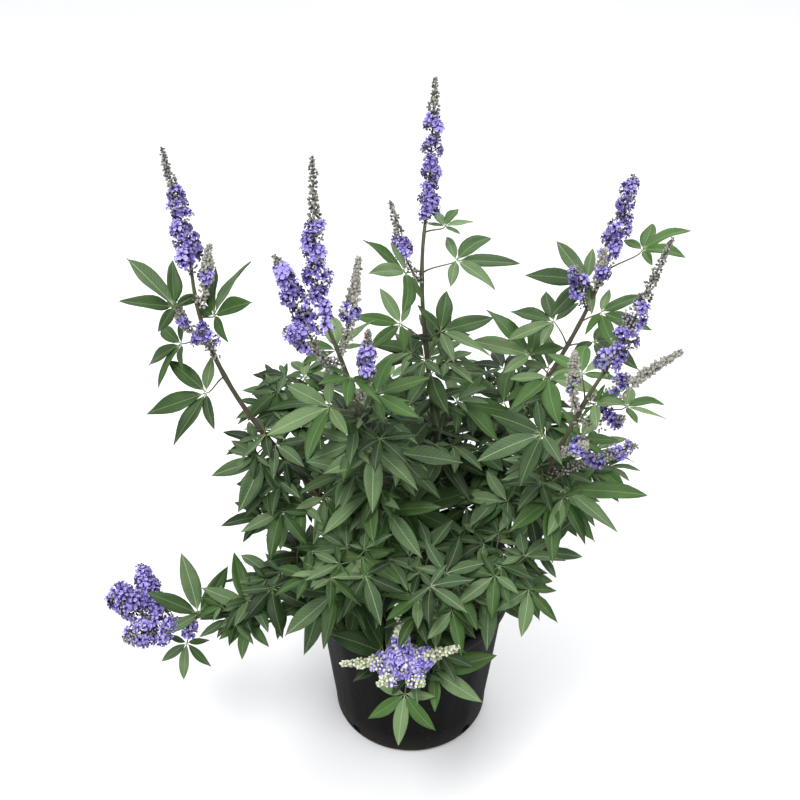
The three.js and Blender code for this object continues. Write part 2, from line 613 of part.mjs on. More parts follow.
// A flower spike as one closed skin: a slim three-sided rachis that is beaded with buds above its
// florets, and whorls of three florets, each a side of the rachis drawn out to a trumpet with a broad
// lower lip. Each whorl is a sixth of a turn on from the last.
function spikeGeometry({ course, radius, bloom, florets }) {
  const length = course.curve.getLength();
  const whorls = Math.max(1, Math.round(((bloom[1] - bloom[0]) * length) / (WHORL_SPACING * florets)));
  const beads = Math.max(2, Math.round(((1 - bloom[1]) * length) / BEAD_SPACING));
  const rings = [{ place: 0, radius, turn: 0 }];
  for (let whorl = 0; whorl < whorls; whorl += 1) {
    const middle = THREE.MathUtils.lerp(bloom[0], bloom[1], (whorl + 0.5) / whorls);
    const half = (0.5 * FLORET_ROOT) / length;
    const size = florets * THREE.MathUtils.lerp(1, LAST_FLORETS, whorl / whorls);
    const turn = (whorl * Math.PI) / 3;
    rings.push({ place: middle - half, radius: RACHIS_RADIUS, turn, size });
    rings.push({ place: middle + half, radius: RACHIS_RADIUS, turn });
  }
  const turn = (whorls * Math.PI) / 3;
  for (let i = 0; i < beads; i += 1) {
    const swell = THREE.MathUtils.lerp(1, LAST_BEAD, i / beads);
    const foot = THREE.MathUtils.lerp(bloom[1], 1, (i + 0.2) / beads);
    const belly = THREE.MathUtils.lerp(bloom[1], 1, (i + 0.7) / beads);
    rings.push({ place: foot, radius: RACHIS_RADIUS * swell, turn });
    rings.push({ place: belly, radius: BEAD_RADIUS * swell, turn: turn + Math.PI / 3 });
  }
  rings.push({ place: 1, radius: TIP_RADIUS, turn });

  const points = [];
  const faces = [];
  const add = (point) => points.push(point) - 1;
  const quad = (a, b, c, d) => faces.push(a, b, c, a, c, d);
  const corners = rings.map(({ place, radius: wide, turn: from }) => {
    const { point, across, over } = course.frame(place);
    return [0, 1, 2].map((j) => add(point.clone()
      .addScaledVector(across, wide * Math.cos(from + j * THIRD_TURN))
      .addScaledVector(over, wide * Math.sin(from + j * THIRD_TURN))));
  });
  const [foot, top] = [corners[0], corners[corners.length - 1]];
  faces.push(foot[2], foot[1], foot[0], ...top);
  for (let i = 0; i + 1 < rings.length; i += 1) {
    for (let j = 0; j < 3; j += 1) {
      const k = (j + 1) % 3;
      const root = [corners[i][j], corners[i][k], corners[i + 1][k], corners[i + 1][j]];
      if (rings[i].size === undefined) {
        const twisted = rings[i + 1].turn > rings[i].turn;
        if (twisted) quad(root[1], root[2], root[3], root[0]);
        else quad(...root);
        continue;
      }
      const middle = (rings[i].place + rings[i + 1].place) / 2;
      const { point, along, across, over } = course.frame(middle);
      const bearing = rings[i].turn + (j + 0.5) * THIRD_TURN;
      const outward = across.clone().multiplyScalar(Math.cos(bearing));
      outward.addScaledVector(over, Math.sin(bearing));
      const sideways = along.clone().cross(outward);
      const size = rings[i].size * (0.86 + 0.2 * spread(i, j));
      const centre = point.clone().addScaledVector(outward, FLORET_REACH * size);
      centre.addScaledVector(along, FLORET_SHIFT * (spread(i + 3, j) - 0.3));
      centre.addScaledVector(sideways, FLORET_SHIFT * (spread(i, j + 4) - 0.5));
      const mouth = FLORET_LIPS.map(([x, y]) => add(centre.clone()
        .addScaledVector(sideways, x * FLORET_HALF_WIDTH * size)
        .addScaledVector(along, y * FLORET_HALF_HEIGHT * size)));
      for (let edge = 0; edge < 4; edge += 1) {
        const next = (edge + 1) % 4;
        quad(root[edge], root[next], mouth[next], mouth[edge]);
      }
      quad(...mouth);
    }
  }
  const geometry = new THREE.BufferGeometry().setFromPoints(points);
  geometry.setIndex(faces);
  return geometry;
}

// The spike that ends a stem goes on from it, a small gap above the stem's end face
function endSpikeCourse(stem, tip) {
  const { point, along } = stem.course.frame(1);
  const start = point.clone().addScaledVector(along, GAP);
  const end = vector(tip);
  const length = start.distanceTo(end);
  const handle = start.clone().addScaledVector(along, length / 3);
  return new Course(start, handle, start.clone().lerp(end, SPIKE_BEND), end);
}

// A side spike leaves the stem at a slant, a small gap off its bark
function sideSpikeCourse(stem, at, tip) {
  const { point, along, across, over } = stem.course.frame(at);
  const end = vector(tip);
  const out = end.clone().sub(point);
  out.addScaledVector(along, -out.dot(along)).normalize();
  const corner = THREE.MathUtils.lerp(stem.radii[0], stem.radii[1], at);
  const bark = corner * Math.max(Math.abs(out.dot(across)), Math.abs(out.dot(over)));
  const start = point.clone().addScaledVector(out, bark + GAP + SIDE_SEAT * RACHIS_RADIUS);
  const slant = out.clone().add(along).normalize();
  const length = start.distanceTo(end);
  const handle = start.clone().addScaledVector(slant, length / 3);
  return new Course(start, handle, start.clone().lerp(end, SPIKE_BEND), end);
}

function spikesOf(stem) {
  const end = {
    name: `spike_${stem.name}`,
    course: endSpikeCourse(stem, stem.spike.tip),
    radius: stem.radii[1],
    florets: 1,
    ...stem.spike,
  };
  const sides = stem.sides.map((side, i) => ({
    name: `spike_${stem.name}_side_${i + 1}`,
    course: sideSpikeCourse(stem, side.at, side.tip),
    radius: RACHIS_RADIUS,
    florets: SIDE_FLORETS,
    ...side,
  }));
  return [end, ...sides];
}

function makeStems() {
  const flowering = FLOWERING.map((stem) => ({
    step: QUARTER_TURN, ...stem, course: floweringCourse(stem), radii: FLOWERING_RADII,
  }));
  const leafy = LEAFY.map((stem) => ({
    ...stem,
    course: leafyCourse(stem),
    radii: LEAFY_RADII,
    first: LEAFY_FIRST,
    last: LAST_PAIR,
    step: QUARTER_TURN,
    accents: [],
    sides: [],
    spike: null,
  }));
  return [...flowering, ...leafy].map((stem) => ({
    ...stem, fork: stem.course.placeAt(STUB_LENGTH),
  }));
}

// The stem's rod bends at its nodes, where its leaves and side spikes stand
function rodSolid(stem) {
  const start = stem.course.placeAt(STUB_LENGTH + GAP + 0.2);
  const forks = [...stem.accents, ...stem.sides].map(({ at }) => at);
  const nodes = [...new Set([...pairPlaces(stem), ...forks])].sort((a, b) => a - b);
  const places = [start, (start + nodes[0]) / 2, ...nodes, 1];
  return solidOf(stem.course.rod(stem.radii, places));
}

function named(name, solid, look) {
  const mesh = new THREE.Mesh(geometryOf(solid), new THREE.MeshStandardMaterial(COLOURS[look]));
  mesh.name = name;
  return mesh;
}

const group = new THREE.Group();
const stems = makeStems();
const pot = potSolid();
const soil = soilSolid();
const crown = crownSolid(stems);
const spikes = stems.filter(({ spike }) => spike !== null).flatMap(spikesOf)
  .map((spike) => ({ name: spike.name, solid: solidOf(spikeGeometry(spike)) }));

const obstacles = [
  asObstacle(pot, "pot"),
  asObstacle(soil, "soil"),
  asObstacle(crown, "crown"),
  ...spikes.map(({ name, solid }) => asObstacle(solid, name)),
  ...stems.map((stem) => asObstacle(rodSolid(stem), stem.name)),
];

const accents = stems.map((stem) => {
  const leaves = accentLeaves(stem, obstacles);
  obstacles.push(...leaves.map(({ solid }) => asObstacle(solid, stem.name)));
  return leaves;
});

group.add(named("pot", pot, "pot"), named("soil", soil, "soil"), named("crown", crown, "bark"));
stems.forEach((stem, number) => {
  const leaves = leavesOf(stem, number + 1, accents[number], obstacles);
  const solid = wasm.Manifold.union([rodSolid(stem), ...leaves]).simplify(SLIVER);
  obstacles.push(asObstacle(solid, stem.name));
  group.add(named(`stem_${stem.name}`, solid, "leaf"));
});
for (const { name, solid } of spikes) group.add(named(name, solid, "floret"));

export default group;
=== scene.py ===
# %% [markdown]
# # A potted chaste tree
# A chaste tree is a shrub with hand-shaped leaves in opposite pairs and upright spikes of small
# lavender-blue florets. This one stands in a black nursery pot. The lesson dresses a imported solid
# model of it: the stems, the leaves and the spikes stay where the solids are, and each gets the
# form and the finish that a close look shows.

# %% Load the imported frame
import math
import random

import bmesh
import bpy
from mathutils import Matrix, Vector, noise
from mathutils.kdtree import KDTree


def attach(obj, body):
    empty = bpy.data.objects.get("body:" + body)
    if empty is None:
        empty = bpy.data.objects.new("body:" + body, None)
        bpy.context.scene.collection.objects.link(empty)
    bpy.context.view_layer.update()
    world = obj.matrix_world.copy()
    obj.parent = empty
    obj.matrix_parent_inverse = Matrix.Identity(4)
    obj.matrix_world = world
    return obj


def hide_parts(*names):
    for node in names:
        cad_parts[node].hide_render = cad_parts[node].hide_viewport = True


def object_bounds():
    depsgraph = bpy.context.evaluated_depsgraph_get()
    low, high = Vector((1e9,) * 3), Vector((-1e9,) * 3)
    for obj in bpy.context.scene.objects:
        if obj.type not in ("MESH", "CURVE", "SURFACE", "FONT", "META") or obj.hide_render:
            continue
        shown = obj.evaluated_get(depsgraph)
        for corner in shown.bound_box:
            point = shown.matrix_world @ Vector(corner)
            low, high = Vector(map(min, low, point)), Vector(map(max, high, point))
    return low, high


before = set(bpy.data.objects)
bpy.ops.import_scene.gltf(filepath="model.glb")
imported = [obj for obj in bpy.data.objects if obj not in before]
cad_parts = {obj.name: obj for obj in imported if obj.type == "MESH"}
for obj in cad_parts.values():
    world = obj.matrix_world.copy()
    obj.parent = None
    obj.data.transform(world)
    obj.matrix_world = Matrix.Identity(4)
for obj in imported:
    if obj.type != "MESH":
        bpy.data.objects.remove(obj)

cad_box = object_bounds()
MM = 0.001
UP = Vector((0, 0, 1))
scene = bpy.context.scene
print("CAD box in mm:", [[round(value / MM) for value in corner] for corner in cad_box])

# %% [markdown]
# ## Short words for shader nodes
# Every finish below is made from nodes. A few short helpers keep each material readable: one adds
# a node, one fills its sockets, one mixes two colours, and some do sums. The last two read where a
# point is on its mesh, and the tone that a copied leaf or flower carries.

# %% Define the node helpers
def fill(tree, made, inputs):
    """Link a node's sockets to others, or set their values."""
    for key, value in inputs.items():
        if isinstance(value, bpy.types.NodeSocket):
            tree.links.new(value, made.inputs[key])
        else:
            made.inputs[key].default_value = value


def node(tree, kind, inputs=None, **settings):
    made = tree.nodes.new(kind)
    for key, value in settings.items():
        setattr(made, key, value)
    fill(tree, made, inputs or {})
    return made


def mix(tree, factor, first, second):
    made = node(tree, "ShaderNodeMix", {0: factor, 6: first, 7: second}, data_type="RGBA")
    return made.outputs[2]


def maths(tree, operation, first, second=0.0):
    return node(tree, "ShaderNodeMath", {0: first, 1: second}, operation=operation).outputs[0]


def times(tree, first, second):
    return maths(tree, "MULTIPLY", first, second)


def plus(tree, first, second):
    return maths(tree, "ADD", first, second)


def inverse(tree, value):
    """1 less the value."""
    return maths(tree, "SUBTRACT", 1.0, value)


def between(tree, value, low, high):
    """0 where the value is under low, 1 where it is over high, and smooth between them."""
    made = node(tree, "ShaderNodeMapRange", {"Value": value, "From Min": low, "From Max": high},
                interpolation_type="SMOOTHSTEP")
    return made.outputs["Result"]


def coordinates(tree, kind):
    place = node(tree, "ShaderNodeTexCoord").outputs[kind]
    return node(tree, "ShaderNodeSeparateXYZ", {0: place}).outputs


def attribute(tree, name):
    return node(tree, "ShaderNodeAttribute", attribute_name=name).outputs["Fac"]


print("ten helpers for nodes are defined")

# %% [markdown]
# ## Colours and materials
# Colours are written as a picture shows them, because that is how they are judged beside the photo.
# Blender reckons with light, so a helper turns the one into the other.

# %% Define how a colour and a material are made
def colour(red, green, blue):
    """A colour as a picture shows it, from 0 to 255, as the light values that Blender uses."""
    def linear(value):
        share = value / 255
        return share / 12.92 if share <= 0.04045 else ((share + 0.055) / 1.055) ** 2.4
    return (linear(red), linear(green), linear(blue), 1)


def new_material(name):
    material = bpy.data.materials.new(name)
    material.use_nodes = True
    tree = material.node_tree
    return material, tree, tree.nodes["Principled BSDF"]


print("a mid grey of 128 is", round(colour(128, 128, 128)[0], 3), "in light values")

# %% [markdown]
# ## Camera and lamps
# The photo looks down on the plant by about 34 degrees from a little over a metre away. The
# camera's height and lens were found from the pot's rim, foot and sides, whose sizes are known.
# Three big soft lamps give the light of the sky a little direction.

# %% Make the camera and the lamps
CAMERA_PLACE, CAMERA_TILT, CAMERA_LENS = (-0.0162, -1.1424, 1.3257), 55.66, 49.37
LAMPS_AIM = Vector((0, 0, 0.45))

camera_data = bpy.data.cameras.new("photo_camera")
camera_data.lens = CAMERA_LENS
camera_data.sensor_width = 36
camera_data.clip_start = 0.05
camera = bpy.data.objects.new("photo_camera", camera_data)
camera.location = CAMERA_PLACE
camera.rotation_euler = (math.radians(CAMERA_TILT), 0, 0)
scene.collection.objects.link(camera)
scene.camera = camera


def soft_lamp(name, place, size, power):
    data = bpy.data.lights.new(name, "AREA")
    data.shape = "DISK"
    data.size = size
    data.energy = power
    lamp = bpy.data.objects.new(name, data)
    lamp.location = place
    lamp.rotation_euler = (LAMPS_AIM - Vector(place)).to_track_quat("-Z", "Y").to_euler()
    scene.collection.objects.link(lamp)


soft_lamp("key_lamp", (-1.0, -1.2, 2.9), 1.2, 52)
soft_lamp("fill_lamp", (1.8, -0.7, 2.4), 1.8, 16)
soft_lamp("back_lamp", (0.5, 1.7, 2.6), 1.6, 26)
print("the camera is", round((camera.location - LAMPS_AIM).length, 2), "m from the shrub's middle")

# %% [markdown]
# ## Sky and floor
# An overcast sky is three times as bright overhead as at the horizon, which is what makes the
# upper leaves light and the inside of the shrub dark. The camera itself sees it almost white. A
# pale floor keeps the contact shadow that shows the pot standing.

# %% Make the sky and the floor
SKY_HORIZON, SKY_ZENITH, SKY_COLOUR = 0.5, 1.6, (0.97, 0.98, 1, 1)
FLOOR_SIZE, FLOOR_DARK, FLOOR_LIGHT = 6, (0.74, 0.74, 0.745, 1), (0.78, 0.78, 0.78, 1)

world = bpy.data.worlds.new("overcast_sky")
world.use_nodes = True
sky = world.node_tree
dome = node(sky, "ShaderNodeMapRange", {"Value": coordinates(sky, "Generated")[2],
                                        "To Min": SKY_HORIZON, "To Max": SKY_ZENITH})
is_seen = node(sky, "ShaderNodeLightPath").outputs["Is Camera Ray"]
brightness = node(sky, "ShaderNodeMix", {0: is_seen, 2: dome.outputs["Result"], 3: 1.0})
fill(sky, sky.nodes["Background"], {"Strength": brightness.outputs[0], "Color": SKY_COLOUR})
scene.world = world
scene.view_settings.view_transform = "Standard"


def new_object(name, bm):
    mesh = bpy.data.meshes.new(name)
    bm.to_mesh(mesh)
    bm.free()
    made = bpy.data.objects.new(name, mesh)
    scene.collection.objects.link(made)
    return made


bm = bmesh.new()
bmesh.ops.create_grid(bm, x_segments=1, y_segments=1, size=FLOOR_SIZE)
floor = new_object("studio_floor", bm)
floor_material, tree, surface = new_material("pale_floor")
spots = node(tree, "ShaderNodeTexNoise", {"Scale": 3.0, "Detail": 4.0})
shade = mix(tree, spots.outputs["Fac"], FLOOR_DARK, FLOOR_LIGHT)
fill(tree, surface, {"Base Color": shade, "Roughness": 0.8})
floor.data.materials.append(floor_material)
print("the floor is", 2 * FLOOR_SIZE, "m wide")

# %% [markdown]
# ## Two effects that several finishes share
# Living and worn surfaces are never one flat colour. The first group lays two sizes of soft noise
# over a surface, for blotches and for bump. The second scatters small pale specks, which are dust
# and dried splashes on plastic and grit on soil. Both read Object coordinates, so the pattern
# stays on the piece.

# %% Build the mottle and speck groups
GRAIN_FINER = 9.0
SPECK_RADIUS = 0.25


def new_group(name, inputs, outputs):
    group = bpy.data.node_groups.new(name, "ShaderNodeTree")
    for label, value in inputs.items():
        socket = group.interface.new_socket(label, in_out="INPUT", socket_type="NodeSocketFloat")
        socket.default_value = value
    for label in outputs:
        group.interface.new_socket(label, in_out="OUTPUT", socket_type="NodeSocketFloat")
    return group, group.nodes.new("NodeGroupInput").outputs, group.nodes.new("NodeGroupOutput")


group, given, result = new_group("mottle", {"Scale": 60.0, "Stretch": 1.0}, ["Blotch", "Grain"])
place = node(group, "ShaderNodeTexCoord").outputs["Object"]
squeeze = node(group, "ShaderNodeCombineXYZ", {0: 1.0, 1: 1.0, 2: given["Stretch"]})
place = node(group, "ShaderNodeVectorMath", {0: place, 1: squeeze.outputs[0]},
             operation="MULTIPLY").outputs[0]
wide = node(group, "ShaderNodeTexNoise", {"Vector": place, "Scale": given["Scale"], "Detail": 3.0})
finer = times(group, given["Scale"], GRAIN_FINER)
fine = node(group, "ShaderNodeTexNoise", {"Vector": place, "Scale": finer, "Detail": 2.0})
fill(group, result, {"Blotch": wide.outputs["Fac"], "Grain": fine.outputs["Fac"]})
mottle_group = group

group, given, result = new_group("specks", {"Scale": 400.0, "Amount": 0.2}, ["Mask"])
place = node(group, "ShaderNodeTexCoord").outputs["Object"]
cells = node(group, "ShaderNodeTexVoronoi", {"Vector": place, "Scale": given["Scale"]})
few = node(group, "ShaderNodeSeparateColor", {0: cells.outputs["Color"]})
rare = maths(group, "LESS_THAN", few.outputs[0], given["Amount"])
near = maths(group, "LESS_THAN", cells.outputs["Distance"], SPECK_RADIUS)
fill(group, result, {"Mask": times(group, rare, near)})
speck_group = group


def mottle(tree, scale, stretch=1.0):
    made = node(tree, "ShaderNodeGroup", {"Scale": scale, "Stretch": stretch}, node_tree=mottle_group)
    return made.outputs["Blotch"], made.outputs["Grain"]


def specks(tree, scale, amount):
    made = node(tree, "ShaderNodeGroup", {"Scale": scale, "Amount": amount}, node_tree=speck_group)
    return made.outputs["Mask"]


def bump(tree, surface, height, strength, distance):
    made = node(tree, "ShaderNodeBump",
                {"Strength": strength, "Distance": distance, "Height": height})
    fill(tree, surface, {"Normal": made.outputs["Normal"]})


print("groups:", [group.name for group in bpy.data.node_groups])

# %% [markdown]
# ## Leaf green, above and beneath
# A chaste tree leaf is a dull dark green above and a paler grey green beneath, with a light midrib
# and fine side veins that run forward. The veins could be modelled, but at a tenth of a millimetre
# they are better drawn: the UV map of a leaflet holds its length and its breadth, so a line at a
# breadth of 0 is the midrib, and slanting lines are the side veins.

# %% Mix the leaf materials
RIB_EDGE, VEIN_EDGE, FOOT_EDGE, MARGIN_EDGE = (0.003, 0.009), (0.02, 0.14), (0.05, 0.15), (0.11, 0.15)
SIDE_VEINS, VEIN_SLANT, SIDE_VEIN_SHARE = 13.0, 1.3, 0.22
FOOT_LIGHT, MARGIN_LIGHT = 0.75, 0.25


def leaf_material(name, dark, light, vein, vein_strength, roughness):
    material, tree, surface = new_material(name)
    along, breadth = coordinates(tree, "UV")[:2]
    off = maths(tree, "ABSOLUTE", breadth)
    blotch, grain = mottle(tree, 45.0)
    tone = plus(tree, attribute(tree, "tone"), times(tree, blotch, 0.5))
    base = mix(tree, between(tree, tone, 0.1, 1.35), dark, light)

    rib = inverse(tree, between(tree, off, *RIB_EDGE))
    slant = maths(tree, "SUBTRACT", along, times(tree, off, VEIN_SLANT))
    ladder = maths(tree, "PINGPONG", times(tree, slant, SIDE_VEINS), 0.5)
    side = inverse(tree, between(tree, ladder, *VEIN_EDGE))
    foot = inverse(tree, between(tree, along, *FOOT_EDGE))
    lines = maths(tree, "MAXIMUM", times(tree, rib, vein_strength),
                  times(tree, side, vein_strength * SIDE_VEIN_SHARE))
    lines = maths(tree, "MAXIMUM", lines, times(tree, foot, FOOT_LIGHT))
    base = mix(tree, lines, base, vein)
    margin = between(tree, off, *MARGIN_EDGE)
    base = mix(tree, times(tree, margin, MARGIN_LIGHT), base, light)

    rough = plus(tree, roughness - 0.08, times(tree, grain, 0.16))
    fill(tree, surface, {"Base Color": base, "Roughness": rough, "Specular IOR Level": 0.25})
    raised = times(tree, maths(tree, "MAXIMUM", rib, side), 0.6)
    bump(tree, surface, plus(tree, raised, times(tree, grain, 0.4)), 0.35, 0.0006)
    return material


leaf_top = leaf_material("leaf_upper_face", colour(15, 31, 12), colour(66, 99, 43),
                         colour(126, 150, 98), 0.42, 0.5)
leaf_under = leaf_material("leaf_under_face", colour(50, 72, 44), colour(108, 132, 88),
                           colour(156, 172, 132), 0.55, 0.7)
print("leaf materials:", leaf_top.name, leaf_under.name)

# %% [markdown]
# ## Bark, soil and pot
# Old wood is grey brown with long furrows, and a shoot turns green towards its tip, so the bark
# reads the same tone value as the leaves: 0 is old wood and 1 is fresh growth. The pot is black
# polyethylene with a dull sheen, faint upright streaks from the mould, and some dust. The soil is
# a damp bark mix with a few pale grains.

# %% Mix the bark, soil and pot materials
DUST_HEIGHT, DUST_SHARE, SPLASH_SHARE = 0.05, 0.1, 0.25

bark, tree, surface = new_material("bark_to_green_shoot")
blotch, grain = mottle(tree, 160.0, 0.25)
old = mix(tree, blotch, colour(34, 26, 23), colour(84, 66, 55))
fresh = mix(tree, blotch, colour(66, 74, 46), colour(108, 116, 74))
age = between(tree, attribute(tree, "tone"), 0.35, 0.95)
fill(tree, surface, {"Base Color": mix(tree, age, old, fresh), "Roughness": 0.75})
bump(tree, surface, plus(tree, blotch, times(tree, grain, 0.5)), 0.6, 0.0008)

soil_dark, tree, surface = new_material("damp_bark_mix")
blotch, grain = mottle(tree, 120.0)
tone = plus(tree, attribute(tree, "tone"), times(tree, blotch, 0.6))
base = mix(tree, between(tree, tone, 0.2, 1.4), colour(28, 21, 17), colour(98, 72, 52))
base = mix(tree, specks(tree, 500.0, 0.05), base, colour(196, 190, 178))
fill(tree, surface, {"Base Color": base, "Roughness": 0.9})
bump(tree, surface, grain, 0.8, 0.001)

pot_black, tree, surface = new_material("black_pot_plastic")
blotch, grain = mottle(tree, 26.0, 0.12)
base = mix(tree, between(tree, blotch, 0.35, 0.7), colour(4, 4, 5), colour(10, 10, 11))
splashes = times(tree, specks(tree, 330.0, 0.05), SPLASH_SHARE)
base = mix(tree, splashes, base, colour(120, 120, 118))
dusty = inverse(tree, between(tree, coordinates(tree, "Object")[2], 0.0, DUST_HEIGHT))
base = mix(tree, times(tree, dusty, DUST_SHARE), base, colour(110, 104, 94))
rough = plus(tree, 0.42, times(tree, blotch, 0.24))
fill(tree, surface, {"Base Color": base, "Roughness": rough, "Specular IOR Level": 0.05})
bump(tree, surface, plus(tree, blotch, times(tree, grain, 0.4)), 0.3, 0.0006)
print("materials so far:", len(bpy.data.materials))

# %% [markdown]
# ## Petals and buds
# A floret is lavender blue with a deeper throat, and each differs a little from the next, by its
# age and by the light that it stood in. Its UV map holds how far out on the petal a point is. Buds
# and calyxes are felted: grey green on the upright spikes. The low head at the front has paler
# lilac florets and cream buds.

# %% Mix the petal and bud materials
def felted(tree, surface, base, roughness, sheen):
    fill(tree, surface, {"Base Color": base, "Roughness": roughness, "Sheen Weight": sheen,
                         "Sheen Roughness": 0.5})


def petal_material(name, dark, light, throat, edge):
    material, tree, surface = new_material(name)
    out = coordinates(tree, "UV")[0]
    blotch, grain = mottle(tree, 420.0)
    tone = plus(tree, attribute(tree, "tone"), times(tree, blotch, 0.3))
    base = mix(tree, between(tree, tone, 0.15, 1.1), dark, light)
    inside = maths(tree, "SUBTRACT", 0.9, between(tree, out, 0.1, 0.5))
    base = mix(tree, inside, base, throat)
    rim = times(tree, between(tree, out, 0.65, 1.0), 0.5)
    felted(tree, surface, mix(tree, rim, base, edge), 0.6, 0.2)
    bump(tree, surface, grain, 0.25, 0.0004)
    return material


petal = petal_material("lavender_petal", colour(52, 38, 124), colour(158, 142, 224),
                       colour(36, 22, 100), colour(204, 192, 246))
petal_pale = petal_material("pale_lilac_petal", colour(98, 82, 190), colour(190, 178, 236),
                            colour(84, 64, 160), colour(226, 220, 250))


def bud_material(name, dark, light):
    material, tree, surface = new_material(name)
    blotch, grain = mottle(tree, 500.0)
    tone = plus(tree, attribute(tree, "tone"), times(tree, coordinates(tree, "UV")[0], 0.5))
    tone = plus(tree, tone, times(tree, blotch, 0.3))
    felted(tree, surface, mix(tree, between(tree, tone, 0.2, 1.5), dark, light), 0.85, 0.25)
    bump(tree, surface, grain, 0.4, 0.0004)
    return material


bud_grey = bud_material("felted_grey_bud", colour(46, 43, 38), colour(158, 156, 144))
bud_cream = bud_material("felted_cream_bud", colour(112, 124, 84), colour(228, 230, 204))
print("petal and bud materials ready")

# %% [markdown]
# ## The course of a stem
# A stem is a curve with two handles. At any place on it we want its direction and two directions
# across it, because leaves stand in pairs round the stem. One of the two is kept level, so that a
# pair's turn means the same all the way up.

# %% Define courses, and the even spread of numbers that the leaves use
LENGTH_STEPS = 24
SPREAD_BY_SEED, SPREAD_BY_INDEX = 0.7548776662, 0.569840291


class Course:
    def __init__(self, start, first, second, end):
        self.points = [Vector(point) for point in (start, first, second, end)]
        run = self.points[3] - self.points[0]
        self.side = Vector((-run.y, run.x, 0)).normalized()

    def frame(self, place):
        """The point at a place from 0 to 1, the way along, the level way across, and the third."""
        a, b, c, d = self.points
        rest = 1 - place
        point = (a * rest ** 3 + b * 3 * rest * rest * place
                 + c * 3 * rest * place * place + d * place ** 3)
        along = ((b - a) * rest * rest + (c - b) * 2 * rest * place
                 + (d - c) * place * place).normalized()
        across = (self.side - along * self.side.dot(along)).normalized()
        return point, along, across, along.cross(across)

    def length(self):
        steps = [self.frame(step / LENGTH_STEPS)[0] for step in range(LENGTH_STEPS + 1)]
        return sum((b - a).length for a, b in zip(steps, steps[1:]))


def lerp(first, second, share):
    return first + (second - first) * share


def spread(seed, index):
    total = seed * SPREAD_BY_SEED + index * SPREAD_BY_INDEX
    return total - math.floor(total)


print("spread gives", [round(spread(18, index), 3) for index in range(4)])

# %% [markdown]
# ## The plan of the shrub
# Seven stems end in a flower spike and carry side spikes below it. Eight stems carry leaves only.
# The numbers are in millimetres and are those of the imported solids, so every piece that is made
# below lies where its solid is. Leaves that stand out from the rest, such as those that frame the
# low flower heads, are accents: each has a place on its stem, a hub, the bearing of its middle
# leaflet, the degrees that it droops and rolls, and a length. A side is a side spike: its place on
# the stem, its tip, and the stretch of it that flowers, from 0 at its foot to 1 at its tip. How
# open, how closely set, how plump and how pale the flowers are belongs to the looks alone.

